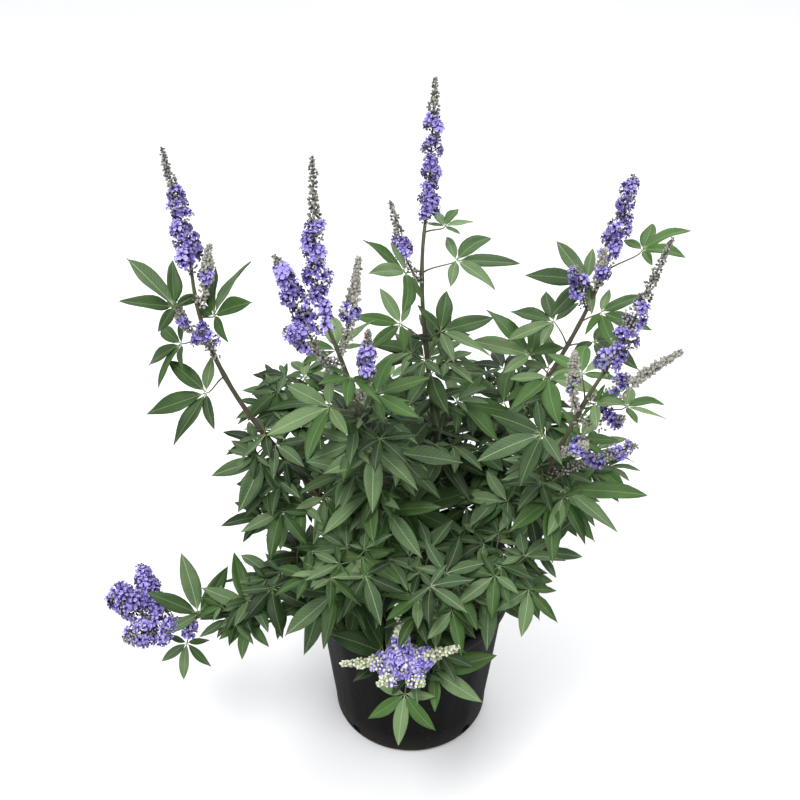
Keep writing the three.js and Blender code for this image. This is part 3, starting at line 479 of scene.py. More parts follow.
# %% Write down the stems
FLOWERING = [
    dict(name="left", handles=[(-95, 0, 380), (-265, 15, 505)], end=(-265, 25, 710),
         pairs=2, first=0.3, last=0.5, leaf=84, turn=60,
         tip=(-285, 40, 865), bloom=(0.08, 0.68), opened=1,
         accents=[(0.9, (-240, 5, 665), 30, -50, 0, 85), (0.95, (-285, 0, 680), 155, -20, 0, 85),
                  (0.75, (-255, -20, 570), 180, 15, -30, 90),
                  (0.85, (-290, 30, 610), 190, 35, -30, 75)],
         sides=[(0.93, (-240, 25, 750), (0.38, 0.58)), (0.84, (-300, 15, 695), (0.4, 0.5)),
                (0.8, (-260, -10, 670), (0.5, 0.95))]),
    dict(name="front_left", handles=[(-50, -25, 375), (-45, -70, 540)], end=(-95, -90, 700),
         pairs=7, first=0.26, last=0.975, leaf=88, turn=65,
         tip=(-105, -95, 910), bloom=(0.05, 0.64), opened=0.95,
         accents=[(0.45, (-50, -65, 450), 215, 25, 0, 90)],
         sides=[(0.84, (-155, -95, 805), (0.5, 0.92)), (0.93, (-60, -70, 785), (0.4, 0.5)),
                (0.78, (-50, -110, 715), (0.45, 0.75)), (0.9, (-150, -125, 730), (0.5, 0.95))]),
    dict(name="centre", handles=[(75, 25, 390), (-5, 95, 555)], end=(15, 110, 735),
         pairs=4, first=0.26, last=0.6, leaf=84, turn=10,
         tip=(25, 115, 920), bloom=(0.05, 0.76), opened=0.9,
         accents=[(0.88, (-10, 60, 695), 210, -20, -40, 80), (0.88, (55, 100, 690), 0, 0, 15, 85),
                  (0.7, (-15, 70, 615), 180, -10, -45, 65), (0.7, (35, 60, 610), 30, 0, 25, 85),
                  (0.98, (40, 115, 730), 60, -10, 0, 45)],
         sides=[(0.86, (-30, 100, 775), (0.35, 0.6))]),
    dict(name="right_back", handles=[(75, 55, 370), (205, 115, 495)], end=(250, 125, 670),
         pairs=5, first=0.26, last=0.77, leaf=86, turn=50,
         tip=(275, 135, 800), bloom=(0.1, 0.98), opened=0.75,
         accents=[(0.68, (160, 115, 540), 125, -25, 0, 100),
                  (0.98, (290, 110, 700), 15, -25, 0, 70),
                  (0.92, (230, 140, 640), 150, 0, -40, 85),
                  (0.84, (245, 100, 615), -30, 0, 20, 75)],
         sides=[(0.88, (205, 110, 685), (0.4, 0.98)), (0.94, (240, 95, 710), (0.4, 0.5))]),
    dict(name="right_front", handles=[(155, -50, 300), (155, -65, 490)], end=(220, -75, 635),
         pairs=5, first=0.26, last=0.9, leaf=90, turn=35,
         tip=(275, -80, 810), bloom=(0.05, 0.55), opened=0.6,
         accents=[(0.6, (190, -80, 465), 0, 0, 10, 105), (0.42, (135, -80, 325), -50, 50, 0, 75),
                  (0.88, (250, -80, 590), 0, 5, 0, 60)],
         sides=[(0.87, (180, -90, 675), (0.4, 0.5)), (0.91, (300, -100, 680), (0.3, 0.42)),
                (0.66, (270, -110, 560), (0.5, 0.95)), (0.73, (200, -120, 565), (0.7, 0.75)),
                (0.84, (245, -125, 605), (0.45, 0.95))]),
    dict(name="low_left", handles=[(-110, -40, 335), (-225, -95, 245)], end=(-340, -90, 250),
         pairs=3, first=0.34, last=0.5, leaf=84, turn=-25, step=16,
         tip=(-405, -90, 300), bloom=(0.12, 0.95), florets=1.1, opened=1, spacing=11, taper=0.3,
         pale=0.3, shares=[0.9, 0.95, 0.5],
         accents=[(0.8, (-285, -95, 265), 120, -45, 0, 90),
                  (0.6, (-215, -95, 275), 115, -40, 0, 85),
                  (0.62, (-215, -110, 265), -100, 15, 0, 55),
                  (0.86, (-305, -100, 215), -100, 60, 0, 55)],
         sides=[(0.95, (-380, -35, 300), (0.45, 0.95)), (0.9, (-385, -145, 260), (0.45, 0.95)),
                (0.86, (-300, -125, 240), (0.6, 0.95))]),
    dict(name="low_front", handles=[(5, -90, 300), (-5, -170, 250)], end=(-10, -190, 275),
         pairs=2, first=0.42, last=0.6, leaf=84, turn=-35, step=30,
         tip=(-20, -170, 360), bloom=(0.08, 0.5), opened=0.8, cream=True, spacing=10, plump=1.4,
         shares=[1.0, 1.0, 1.1, 1.1],
         accents=[(0.6, (-35, -165, 265), 125, -45, 0, 100),
                  (0.65, (25, -180, 250), 10, -10, 30, 90),
                  (0.85, (-10, -205, 235), -105, 50, 0, 70)],
         sides=[(0.92, (55, -215, 330), (0.6, 0.75)), (0.9, (-90, -205, 290), (0.5, 0.72)),
                (0.97, (20, -230, 265), (0.35, 0.9)), (0.86, (-50, -230, 270), (0.4, 0.9))]),
]
LEAFY = [
    dict(name="front", bearing=-80, reach=150, rise=130, pairs=3, leaf=86, turn=15),
    dict(name="front_right", bearing=-45, reach=165, rise=140, pairs=4, leaf=84, turn=50),
    dict(name="right", bearing=0, reach=215, rise=200, pairs=4, leaf=84, turn=30),
    dict(name="back_right", bearing=50, reach=185, rise=230, pairs=4, leaf=84, turn=75),
    dict(name="back", bearing=100, reach=200, rise=190, pairs=4, leaf=86, turn=10),
    dict(name="back_left", bearing=145, reach=190, rise=250, pairs=4, leaf=84, turn=60),
    dict(name="left_side", bearing=190, reach=150, rise=190, pairs=4, leaf=84, turn=25),
    dict(name="front_left_low", bearing=240, reach=180, rise=150, pairs=4, leaf=86, turn=70),
]
print(len(FLOWERING), "flowering stems and", len(LEAFY), "leafy ones")

# %% [markdown]
# ## From the plan to courses
# Every stem starts from a ring on the crown, on the side that it heads for. A flowering stem's
# handles are in the plan. Those of a leafy stem are shares of its reach and its rise, so that it
# leaves the crown steeply and then arches over. What the plan doesn't say of a stem is as usual.

# %% Lay out the courses of the stems
CROWN_RING, CROWN_HEIGHT = 9 * MM, 226 * MM
FLOWERING_RADII, LEAFY_RADII = (5.2 * MM, 2.2 * MM), (3.8 * MM, 1.5 * MM)
LEAFY_HANDLES = ((0.3, 0.55), (0.68, 0.95))
USUAL = {"step": 90, "first": 0.34, "last": 0.975, "tip": None, "accents": [], "sides": [],
         "cream": False, "florets": 1, "taper": 1, "shares": [0.8] * 5, "spacing": 19, "plump": 1,
         "pale": 0}


def in_metres(point):
    return Vector(point) * MM


def crown_start(bearing):
    """Where a stem that heads for a bearing stands on the crown."""
    return Vector((CROWN_RING * math.cos(bearing), CROWN_RING * math.sin(bearing), CROWN_HEIGHT))


def flowering_course(stem):
    first, second = stem["handles"]
    return Course(crown_start(math.atan2(first[1], first[0])), in_metres(first),
                  in_metres(second), in_metres(stem["end"]))


def leafy_course(stem):
    heading = math.radians(stem["bearing"])

    def reach(out, up):
        return Vector((stem["reach"] * MM * out * math.cos(heading),
                       stem["reach"] * MM * out * math.sin(heading),
                       CROWN_HEIGHT + stem["rise"] * MM * up))

    first, second = (reach(*handle) for handle in LEAFY_HANDLES)
    return Course(crown_start(heading), first, second, reach(1, 1))


stems = [{**USUAL, **stem, "course": flowering_course(stem), "radii": FLOWERING_RADII}
         for stem in FLOWERING]
stems += [{**USUAL, **stem, "course": leafy_course(stem), "radii": LEAFY_RADII} for stem in LEAFY]
print(len(stems), "stems; the longest is",
      round(max(stem["course"].length() for stem in stems) / MM), "mm")

# %% [markdown]
# ## One leaflet
# A leaflet is a thin blade: widest before its middle, drawn out to a long point, folded a little
# along the midrib and waved at the margin. We shape a flat grid by its breadth at each place and
# then give it thickness, so that it has an upper and an under face. Eight leaflets with different
# folds and waves are enough, because each is used at many sizes and turns, and four simpler ones
# do for the small leaves. They are in units of their own length, with the foot at the origin.

# %% Model the leaflets
LEAFLET_BREADTH = 0.145
LEAFLET_THICKNESS = 0.006
FOOT_END, FOOT_BREADTH, FOOT_START = 0.07, 0.008, 0.02
EARLY, LATE, SHAPE_PEAK = 0.85, 1.05, 0.2686
ARCH, SAG = 0.1, 0.14
KEELS, WAVE_DEPTHS, CURLS = (0.12, 0.45), (0.006, 0.022), (-0.05, 0.1)
TWISTS, SWERVES = (-0.4, 0.4), (-0.045, 0.045)
WAVES, WAVE_SLANT = 9, 2.2
UPPER_SLOT, UNDER_SLOT = 1, 2


def breadth_at(place):
    """Half the breadth of the blade at a place from 0, its foot, to 1, its tip."""
    if place < FOOT_END:
        return FOOT_BREADTH
    share = (place - FOOT_END) / (1 - FOOT_END)
    shape = share ** EARLY * (1 - share) ** LATE
    return FOOT_BREADTH * (1 - share) + LEAFLET_BREADTH * shape / SHAPE_PEAK


def leaflet_mesh(number, long_cuts, cross_cuts):
    rng = random.Random(number)
    keel, wave = rng.uniform(*KEELS), rng.uniform(*WAVE_DEPTHS)
    phase, curl = rng.uniform(0, math.tau), rng.uniform(*CURLS)
    twist, swerve = rng.uniform(*TWISTS), rng.uniform(*SWERVES)
    bm = bmesh.new()
    bmesh.ops.create_grid(bm, x_segments=long_cuts, y_segments=cross_cuts, size=0.5)
    first = 1 / long_cuts
    for vertex in bm.verts:
        share, across = vertex.co.x + 0.5, vertex.co.y * 2
        if share < first * 1.1:
            place = lerp(FOOT_START, FOOT_END, share / first)
        else:
            place = lerp(FOOT_END, 1, (share - first) / (1 - first))
        half = breadth_at(min(place, 1))
        off = half * across
        lift = ARCH * place - SAG * place * place - curl * place ** 3
        lift += keel * abs(off)
        lift += wave * across * across * math.sin(WAVES * place + phase + WAVE_SLANT * across)
        turn = twist * place
        vertex.co = (place, off * math.cos(turn) + swerve * math.sin(math.pi * place),
                     lift + off * math.sin(turn))
    bmesh.ops.remove_doubles(bm, verts=bm.verts, dist=1e-4)
    bmesh.ops.recalc_face_normals(bm, faces=bm.faces)
    bmesh.ops.solidify(bm, geom=bm.faces[:], thickness=LEAFLET_THICKNESS)
    bmesh.ops.recalc_face_normals(bm, faces=bm.faces)
    uv = bm.loops.layers.uv.new("UVMap")
    for face in bm.faces:
        face.smooth = True
        face.material_index = UNDER_SLOT if face.normal.z < -0.1 else UPPER_SLOT
        for loop in face.loops:
            x, y = loop.vert.co.x, loop.vert.co.y
            loop[uv].uv = (x, y - swerve * math.sin(math.pi * x))
    return finished_mesh(f"leaflet_{number}", bm)


def finished_mesh(name, bm):
    """A bmesh as a mesh with a tone value at each of its points."""
    mesh = bpy.data.meshes.new(name)
    bm.to_mesh(mesh)
    bm.free()
    mesh.attributes.new("tone", "FLOAT", "POINT")
    return mesh


leaflets = [leaflet_mesh(number, 9, 4) for number in range(8)]
small_leaflets = [leaflet_mesh(number, 6, 2) for number in range(8, 12)]
print("leaflet faces:", [len(mesh.polygons) for mesh in leaflets + small_leaflets])

# %% [markdown]
# ## Rods that follow a course
# Stems, leaf stalks and the spindles of the spikes are all round rods that taper and bend. A
# straight rod of height 1 is cut into rings once, and each use of it moves its rings onto a course.

# %% Model three straight rods, and bend copies of them
BULGE_SIZE, BULGE_SPAN = 0.22, 0.012


def straight_rod(name, sides, rings):
    bm = bmesh.new()
    bmesh.ops.create_cone(bm, cap_ends=True, segments=sides, radius1=1, radius2=1, depth=1)
    upright = [edge for edge in bm.edges if abs(edge.verts[0].co.z - edge.verts[1].co.z) > 0.5]
    bmesh.ops.subdivide_edges(bm, edges=upright, cuts=rings - 1)
    bmesh.ops.translate(bm, verts=bm.verts, vec=(0, 0, 0.5))
    bm.loops.layers.uv.new("UVMap")
    for face in bm.faces:
        face.smooth = len(face.verts) == 4
    return finished_mesh(name, bm)


thick_rod = straight_rod("thick_rod", 10, 36)
spindle_rod = straight_rod("spindle_rod", 6, 24)
stalk_rod = straight_rod("stalk_rod", 5, 6)


def add_rod(bm, rod, course, radii, tones, material=0, bulges=()):
    """Bend a copy of a straight rod onto a course and add it. It swells at each of the bulges."""
    copy = rod.copy()
    tone = []
    for vertex in copy.vertices:
        place = vertex.co.z
        point, along, across, over = course.frame(place)
        radius = lerp(radii[0], radii[1], place)
        for middle in bulges:
            radius *= 1 + BULGE_SIZE * math.exp(-((place - middle) / BULGE_SPAN) ** 2)
        vertex.co = point + across * (vertex.co.x * radius) + over * (vertex.co.y * radius)
        tone.append(lerp(tones[0], tones[1], place))
    copy.attributes["tone"].data.foreach_set("value", tone)
    copy.polygons.foreach_set("material_index", [material] * len(copy.polygons))
    bm.from_mesh(copy)
    bpy.data.meshes.remove(copy)


print("rod faces:", [len(mesh.polygons) for mesh in (thick_rod, spindle_rod, stalk_rod)])

# %% [markdown]
# ## Copies, and pieces of the part
# A leaflet, a floret or a chip of bark is modelled once, and then copied with a matrix that turns,
# sizes and places it. The copies of one stem or spike are joined in one bmesh. It becomes a piece
# that rides on the body of the plant and stands in for one node of the solids.

# %% Define how copies and pieces are made
def add_copy(bm, mesh, matrix, tone):
    copy = mesh.copy()
    copy.transform(matrix)
    copy.attributes["tone"].data.foreach_set("value", [tone] * len(copy.vertices))
    bm.from_mesh(copy)
    bpy.data.meshes.remove(copy)


def facing(point, x_way, y_way, z_way):
    """The matrix that moves a shape to a point and turns its axes to three ways."""
    return Matrix.Translation(point) @ Matrix((x_way, y_way, z_way)).transposed().to_4x4()


def add_piece(name, bm, materials, replaced):
    piece = new_object(name, bm)
    for material in materials:
        piece.data.materials.append(material)
    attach(piece, "root")
    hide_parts(*replaced)
    return piece


print("ready to copy", len(leaflets + small_leaflets), "leaflets")

# %% [markdown]
# ## Where each leaf hangs
# Leaves stand in opposite pairs, each pair turned on from the last. The stalk leans out and up the
# stem, the leaf faces up with its middle leaflet pointing outwards, and small shifts of swing,
# droop and roll keep any two from being alike. All lean a little to the front, to the light. An
# accent has its own numbers instead.

# %% Define where a leaf hangs
LEAN = Matrix.Rotation(math.radians(15), 3, "X")
STALK_OUT, STALK_ALONG, STALK_UP, STALK_LENGTH = 0.8, 0.45, 0.2, 0.46
LEAF_FULL, LEAF_SHORTER, LEAF_VARY = 0.92, 0.3, 0.26
LEAF_FORWARD, LEAF_SWING, LEAF_DROOP, LEAF_LIFT, LEAF_ROLL = 0.4, 50, 30, 10, 44


def leaf_frame(heading, droop, roll):
    """The way of the middle leaflet, the leaf's side and its upper face."""
    fall = math.radians(droop)
    forward = heading * math.cos(fall) - UP * math.sin(fall)
    face = heading * math.sin(fall) + UP * math.cos(fall)
    face = Matrix.Rotation(math.radians(roll), 3, forward) @ face
    return forward, face.cross(forward), face


def a_leaf(stem, place, phase, seed, hub, length, ways):
    point, along, across, over = stem["course"].frame(place)
    forward, side, face = ways
    return dict(root=point, along=along, hub=hub, forward=forward, side=side, face=face,
                length=length, seed=seed, place=place, phase=phase)


def leaf_at(stem, place, phase, seed, turn=0, droop=0, size=1):
    point, along, across, over = stem["course"].frame(place)
    out = across * math.cos(phase) + over * math.sin(phase)
    share = LEAF_FULL - LEAF_SHORTER * place ** 3 + LEAF_VARY * spread(seed, 1)
    length = stem["leaf"] * MM * size * share
    reach = (out * STALK_OUT + along * STALK_ALONG + UP * STALK_UP).normalized()
    heading = out + along * LEAF_FORWARD
    heading.z = 0
    swing = Matrix.Rotation(math.radians(turn + LEAF_SWING * (spread(seed, 2) - 0.5)), 3, UP)
    ways = leaf_frame(swing @ heading.normalized(), LEAF_DROOP * spread(seed, 3) - LEAF_LIFT + droop,
                      LEAF_ROLL * (spread(seed, 4) - 0.5))
    return a_leaf(stem, place, phase, seed, point + reach * length * STALK_LENGTH, length,
                  [LEAN @ way for way in ways])


def accent_at(stem, accent, turn, droop, size):
    at, hub, bearing, fall, roll, length = accent
    heading = Matrix.Rotation(math.radians(bearing + turn), 3, "Z") @ Vector((1, 0, 0))
    seed = round(hub[0] + 3 * hub[2])
    return a_leaf(stem, at, 0, seed, in_metres(hub), length * MM * size,
                  leaf_frame(heading, fall + droop, roll))


print("a stalk is", STALK_LENGTH, "of the length of its leaf's middle leaflet")

# %% [markdown]
# ## Which leaves the solids have
# The solids were made by the same rule, and where a leaf would have cut another it was swung,
# drooped or made smaller. We find out which of those was kept by looking for the middle leaflet's
# tip among the solid's corners. A leaf that isn't found was left out there, and is left out here.

# %% Find the leaves that the solids have
TRIES = ((0, 0, 1), (25, 0, 1), (-25, 0, 1), (0, 20, 1), (0, -20, 1), (45, 15, 0.9),
         (-45, 15, 0.9), (30, -20, 0.85), (-30, -20, 0.85), (65, 0, 0.75), (-65, 0, 0.75),
         (0, 40, 0.75), (0, -40, 0.75))
TIP_SAG = 0.04
FOUND_WITHIN = 0.3 * MM


def tip_of(leaf):
    """Where a solid has the tip of the leaf's middle leaflet."""
    return leaf["hub"] + (leaf["forward"] - leaf["face"] * TIP_SAG) * leaf["length"]


def kept_leaves(stem, number):
    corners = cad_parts["stem_" + stem["name"]].data.vertices
    tree = KDTree(len(corners))
    for index, corner in enumerate(corners):
        tree.insert(corner.co, index)
    tree.balance()
    makers = [lambda *change, row=row: accent_at(stem, row, *change) for row in stem["accents"]]
    for pair in range(stem["pairs"]):
        place = lerp(stem["first"], stem["last"], pair / (stem["pairs"] - 1))
        for half in range(2):
            phase = math.radians(stem["turn"] + stem["step"] * pair + 180 * half)
            seed = number * 17 + pair * 2 + half + 1
            makers.append(lambda *change, own=(place, phase, seed): leaf_at(stem, *own, *change))
    found = []
    for maker in makers:
        tries = (maker(*change) for change in TRIES)
        kept = next((leaf for leaf in tries if tree.find(tip_of(leaf))[2] < FOUND_WITHIN), None)
        if kept:
            found.append(kept)
    return found


for number, stem in enumerate(stems):
    stem["leaves"] = kept_leaves(stem, number + 1)
print("leaves found:", {stem["name"]: len(stem["leaves"]) for stem in stems})

# %% [markdown]
# ## Build a leaf
# The stalk leaves the stem at a slant, bows a little and comes to the hub from below, where the
# leaflets meet. Each leaflet takes one of the eight shapes, with a small difference of breadth and
# of tone, and is a little shorter than the solid's, so that none leaves the solid model's box. The
# tone of the whole leaf depends on its place: young leaves near a tip are lighter, and leaves low on
# a stem are darker as painted shade, which stands in for the shade inside the shrub.

# %% Add a palmate leaf to a piece
LEAFLET_ANGLES = (-100, -50, 0, 50, 100)
LEAFLET_LENGTHS = (0.6, 0.88, 1, 0.88, 0.6)
LEAFLET_SHARES, LEAFLET_BREADTHS, LEAFLET_TURN, LEAFLET_TONE = (0.93, 0.96), (0.9, 1.1), 4, 0.12
STALK_RADII, STALK_TONES = (1.25 * MM, 0.8 * MM), (0.55, 1.0)
HUB_DEPTH = 0.4 * MM
STALK_SLANT, STALK_FIRST, STALK_BELOW, STALK_BEHIND = 0.12, 0.25, 0.16, 0.1
TONE_VARY, TONE_YOUNG_AND_SHADE = 0.55, 0.35


def add_leaf(bm, leaf, tone, shapes):
    rng = random.Random(leaf["seed"] * 7 + 3)
    root, hub, length = leaf["root"], leaf["hub"], leaf["length"]
    run = hub - root
    first = root + leaf["along"] * (run.length * STALK_SLANT) + run * STALK_FIRST
    second = (hub - leaf["face"] * (run.length * STALK_BELOW)
              - leaf["forward"] * (run.length * STALK_BEHIND))
    stalk = Course(root, first, second, hub - leaf["face"] * HUB_DEPTH)
    add_rod(bm, stalk_rod, stalk, STALK_RADII, STALK_TONES)
    own = facing(hub, leaf["forward"], leaf["side"], leaf["face"])
    for angle, share in zip(LEAFLET_ANGLES, LEAFLET_LENGTHS):
        size = length * share * rng.uniform(*LEAFLET_SHARES)
        wide = rng.uniform(*LEAFLET_BREADTHS)
        angle += rng.uniform(-LEAFLET_TURN, LEAFLET_TURN)
        turn = Matrix.Rotation(math.radians(angle), 4, "Z")
        grow = Matrix.Diagonal((size, size * wide, size, 1))
        shape = shapes[rng.randrange(len(shapes))]
        add_copy(bm, shape, own @ turn @ grow, tone + rng.uniform(-LEAFLET_TONE, LEAFLET_TONE))


def leaf_tone(leaf):
    rng = random.Random(leaf["seed"] * 13 + 1)
    # tone rises along the stem: partly young growth, partly painted shade that darkens the lower
    # leaves
    return TONE_VARY * rng.random() + TONE_YOUNG_AND_SHADE * leaf["place"]


print("one leaf has", 5 * len(leaflets[0].polygons) + len(stalk_rod.polygons), "faces")

# %% [markdown]
# ## Small leaves in the axils
# Above each leaf of the lower stem sits a short side shoot with smaller leaves, and on a stem
# without flowers above every leaf. They fill the shrub and hide the soil. A side shoot leans out
# between the stem and its leaf, and carries one or two pairs of leaves at about two thirds of the
# size. They sit in the shade, so they are darker than the others.

# %% Plan the side shoots
LAST_SHOOT, SHOOT_ABOVE = 0.62, 0.012
SHOOT_LENGTHS, SHOOT_LEAVES = (24, 46), (0.56, 0.78)
SHOOT_ALONG, SHOOT_OUT, SHOOT_UP, SHOOT_BOW = 0.8, 0.55, 0.25, 4 * MM
SHOOT_RADII, SHOOT_TONES = (1.6 * MM, 0.9 * MM), (0.5, 1.0)
SHOOT_TURN, SHOOT_SEEDS = 60, 700


def is_inside(point, margin):
    low, high = cad_box
    return all(low[i] + margin < point[i] < high[i] - margin for i in range(3))


def axil_shoots(stem, number):
    shoots = []
    for leaf in stem["leaves"]:
        if leaf["place"] > LAST_SHOOT and stem["tip"]:
            continue
        rng = random.Random(leaf["seed"] * 31 + number)
        point, along, across, over = stem["course"].frame(min(leaf["place"] + SHOOT_ABOVE, 1))
        out = across * math.cos(leaf["phase"]) + over * math.sin(leaf["phase"])
        length = rng.uniform(*SHOOT_LENGTHS) * MM
        end = point + (along * SHOOT_ALONG + out * SHOOT_OUT + UP * SHOOT_UP).normalized() * length
        course = Course(point, lerp(point, end, 0.35) + out * SHOOT_BOW, lerp(point, end, 0.7), end)
        shoot = {"course": course, "leaf": stem["leaf"] * rng.uniform(*SHOOT_LEAVES), "leaves": []}
        for pair in range(rng.choice((1, 1, 2))):
            for half in range(2):
                seed = leaf["seed"] * 5 + pair * 2 + half + SHOOT_SEEDS
                phase = leaf["phase"] + math.radians(90 * pair + SHOOT_TURN + 180 * half)
                small = leaf_at(shoot, lerp(0.5, 0.96, pair), phase, seed)
                if is_inside(small["hub"], small["length"] + MM):
                    shoot["leaves"].append(small)
        shoots.append(shoot)
    return shoots


for number, stem in enumerate(stems):
    stem["shoots"] = axil_shoots(stem, number + 1)
print("small leaves:", sum(len(shoot["leaves"]) for stem in stems for shoot in stem["shoots"]))

# %% [markdown]
# ## Build the leafy stems
# Each leafy stem is one piece: its rod with a swelling at every node, its leaves on their stalks,
# and the side shoots in the axils.

# %% Make a piece for each stem
STEM_TONES, SHADE_TONE = (0.0, 0.75), 0.5


def make_stem(stem):
    bm = bmesh.new()
    places = [leaf["place"] for leaf in stem["leaves"]] + [side[0] for side in stem["sides"]]
    add_rod(bm, thick_rod, stem["course"], stem["radii"], STEM_TONES, bulges=sorted(set(places)))
    for leaf in stem["leaves"]:
        add_leaf(bm, leaf, leaf_tone(leaf), leaflets)
    for shoot in stem["shoots"]:
        add_rod(bm, stalk_rod, shoot["course"], SHOOT_RADII, SHOOT_TONES)
        for leaf in shoot["leaves"]:
            add_leaf(bm, leaf, SHADE_TONE * spread(leaf["seed"], 5), small_leaflets)
    return add_piece("leafy_" + stem["name"], bm, [bark, leaf_top, leaf_under],
                     ["stem_" + stem["name"]])


leafy_pieces = [make_stem(stem) for stem in stems]
print("faces of the leafy stems:", sum(len(piece.data.polygons) for piece in leafy_pieces))

# %% [markdown]
# ## One floret
# A floret is a short tube that opens into two lips: two small lobes above and three below, of which
# the lowest is the largest. We start from a ten-sided ring, draw it out into the tube, and then
# draw every other edge out again for the lobes. A small grey calyx holds its foot. It is used
# thousands of times, so it has a few dozen faces. It looks along +Z with its large lip towards -Y.

# %% Model the floret
LOBES = ((-90, 1.5), (-18, 1.05), (54, 0.85), (126, 0.85), (198, 1.05))
TUBE_RADIUS, TUBE_TOP, THROAT_RADIUS = 0.16, 0.8, 0.32
TUBE_RINGS = ((0.45, 1.25, 0.15), (TUBE_TOP, 2.0, 0.35))
LOBE_STEPS = ((0.2, 0.08, 2.3, 0.6), (0.44, 0.0, 1.8, 1.0))
LOBE_HALF_BREADTH = 0.12
PETAL_SLOT, BUD_SLOT, BARK_SLOT = 0, 1, 2


def smooth(bm, material=0):
    for face in bm.faces:
        face.smooth = True
        face.material_index = material


def added(grown, kind):
    return [item for item in grown["geom"] if isinstance(item, kind)]


def floret_mesh():
    bm = bmesh.new()
    ring = bmesh.ops.create_circle(bm, cap_ends=False, segments=10, radius=TUBE_RADIUS)["verts"]
    bmesh.ops.rotate(bm, verts=ring, cent=(0, 0, 0), matrix=Matrix.Rotation(math.radians(-9), 3, "Z"))
    bmesh.ops.contextual_create(bm, geom=bm.edges[:])
    reach = {vertex: 0.0 for vertex in bm.verts}
    rim = [edge for edge in bm.edges if edge.is_boundary]
    for height, wide, far in TUBE_RINGS:
        grown = bmesh.ops.extrude_edge_only(bm, edges=rim)
        fresh = added(grown, bmesh.types.BMVert)
        for vertex in fresh:
            flat = vertex.co.xy.normalized() * TUBE_RADIUS * wide
            vertex.co = (flat.x, flat.y, height)
            reach[vertex] = far
        rim = [edge for edge in added(grown, bmesh.types.BMEdge) if set(edge.verts) <= set(fresh)]
    for turn, size in LOBES:
        way = Vector((math.cos(math.radians(turn)), math.sin(math.radians(turn)), 0))
        edge = max(rim, key=lambda e: (e.verts[0].co + e.verts[1].co).xy.normalized().dot(way.xy))
        for out, lift, wide, far in LOBE_STEPS:
            grown = bmesh.ops.extrude_edge_only(bm, edges=[edge])
            fresh = added(grown, bmesh.types.BMVert)
            middle = sum((vertex.co for vertex in fresh), Vector()) / 2
            sideways = (fresh[0].co - middle).normalized()
            base = way * (THROAT_RADIUS + out * size) + UP * (TUBE_TOP + lift)
            for vertex, sign in zip(fresh, (1, -1)):
                vertex.co = base + sideways * sign * LOBE_HALF_BREADTH * wide * (0.75 + 0.25 * size)
                reach[vertex] = far
            edge = next(edge for edge in added(grown, bmesh.types.BMEdge)
                        if set(edge.verts) <= set(fresh))
    bmesh.ops.recalc_face_normals(bm, faces=bm.faces)
    uv = bm.loops.layers.uv.new("UVMap")
    smooth(bm, PETAL_SLOT)
    for face in bm.faces:
        for loop in face.loops:
            loop[uv].uv = (reach[loop.vert], 0)
    cup = bmesh.ops.create_cone(bm, cap_ends=False, segments=5, radius1=0.09, radius2=0.25,
                                depth=0.45)["verts"]
    bmesh.ops.translate(bm, verts=cup, vec=(0, 0, 0.14))
    for face in bm.faces:
        if face.verts[0] in cup:
            face.material_index = BUD_SLOT
            face.smooth = True
    return finished_mesh("floret", bm)


floret = floret_mesh()
print("floret faces:", len(floret.polygons))

# %% [markdown]
# ## One bud
# A bud is a small felted egg in a cup. The UV map holds its height, so the material can be darker
# in the cup than at the tip. It stands on its foot and looks along +Z.

# %% Model the bud
BUD_SLIMMER, BUD_LONGER = 0.25, 1.25


def bud_mesh():
    bm = bmesh.new()
    bmesh.ops.create_uvsphere(bm, u_segments=7, v_segments=5, radius=0.5)
    uv = bm.loops.layers.uv.new("UVMap")
    for vertex in bm.verts:
        slim = 1 - BUD_SLIMMER * abs(vertex.co.z + 0.1)
        vertex.co = (vertex.co.x * slim, vertex.co.y * slim, vertex.co.z * BUD_LONGER + 0.5)
    smooth(bm, BUD_SLOT)
    for face in bm.faces:
        for loop in face.loops:
            loop[uv].uv = (loop.vert.co.z, 0)
    return finished_mesh("bud", bm)


bud = bud_mesh()
print("bud faces:", len(bud.polygons))

# %% [markdown]
# ## How a spike is filled
# A spike flowers from below upwards. At its foot the flowers are over and grey calyxes remain; then
# come tufts of open florets with buds among them; and above those are beads of buds that grow
# smaller up to the tip. Each tuft stands on a short stalk. Its florets and buds are spread evenly
# over a ball round the end of the stalk, the open ones mostly on the outer side.

# %% Add a tuft
twig_bm = bmesh.new()
bmesh.ops.create_cone(twig_bm, cap_ends=True, segments=4, radius1=0.5, radius2=0.3, depth=1)
bmesh.ops.translate(twig_bm, verts=twig_bm.verts, vec=(0, 0, 0.5))
twig = finished_mesh("twig", twig_bm)
TWIG_WIDTH, TWIG_TONE = 1.3 * MM, 0.2
OPEN_FRONT, OPEN_BEHIND, FRONT_SHARE = 1.35, 0.2, 0.7
TURN_BETWEEN, WRAP, TALLER, DRAWN_UP, SUNK = 2.4, 1.75, 1.3, 0.25, 0.55
IN_OR_OUT, ITEM_SIZES, AIM_SHIFT, TONES = (0.72, 1.08), (0.85, 1.15), 0.3, (0, 0.85)


def set_on(bm, mesh, point, look, up, size, tone):
    side = up.cross(look).normalized()
    add_copy(bm, mesh, facing(point, side, look.cross(side), look) @ size, tone)


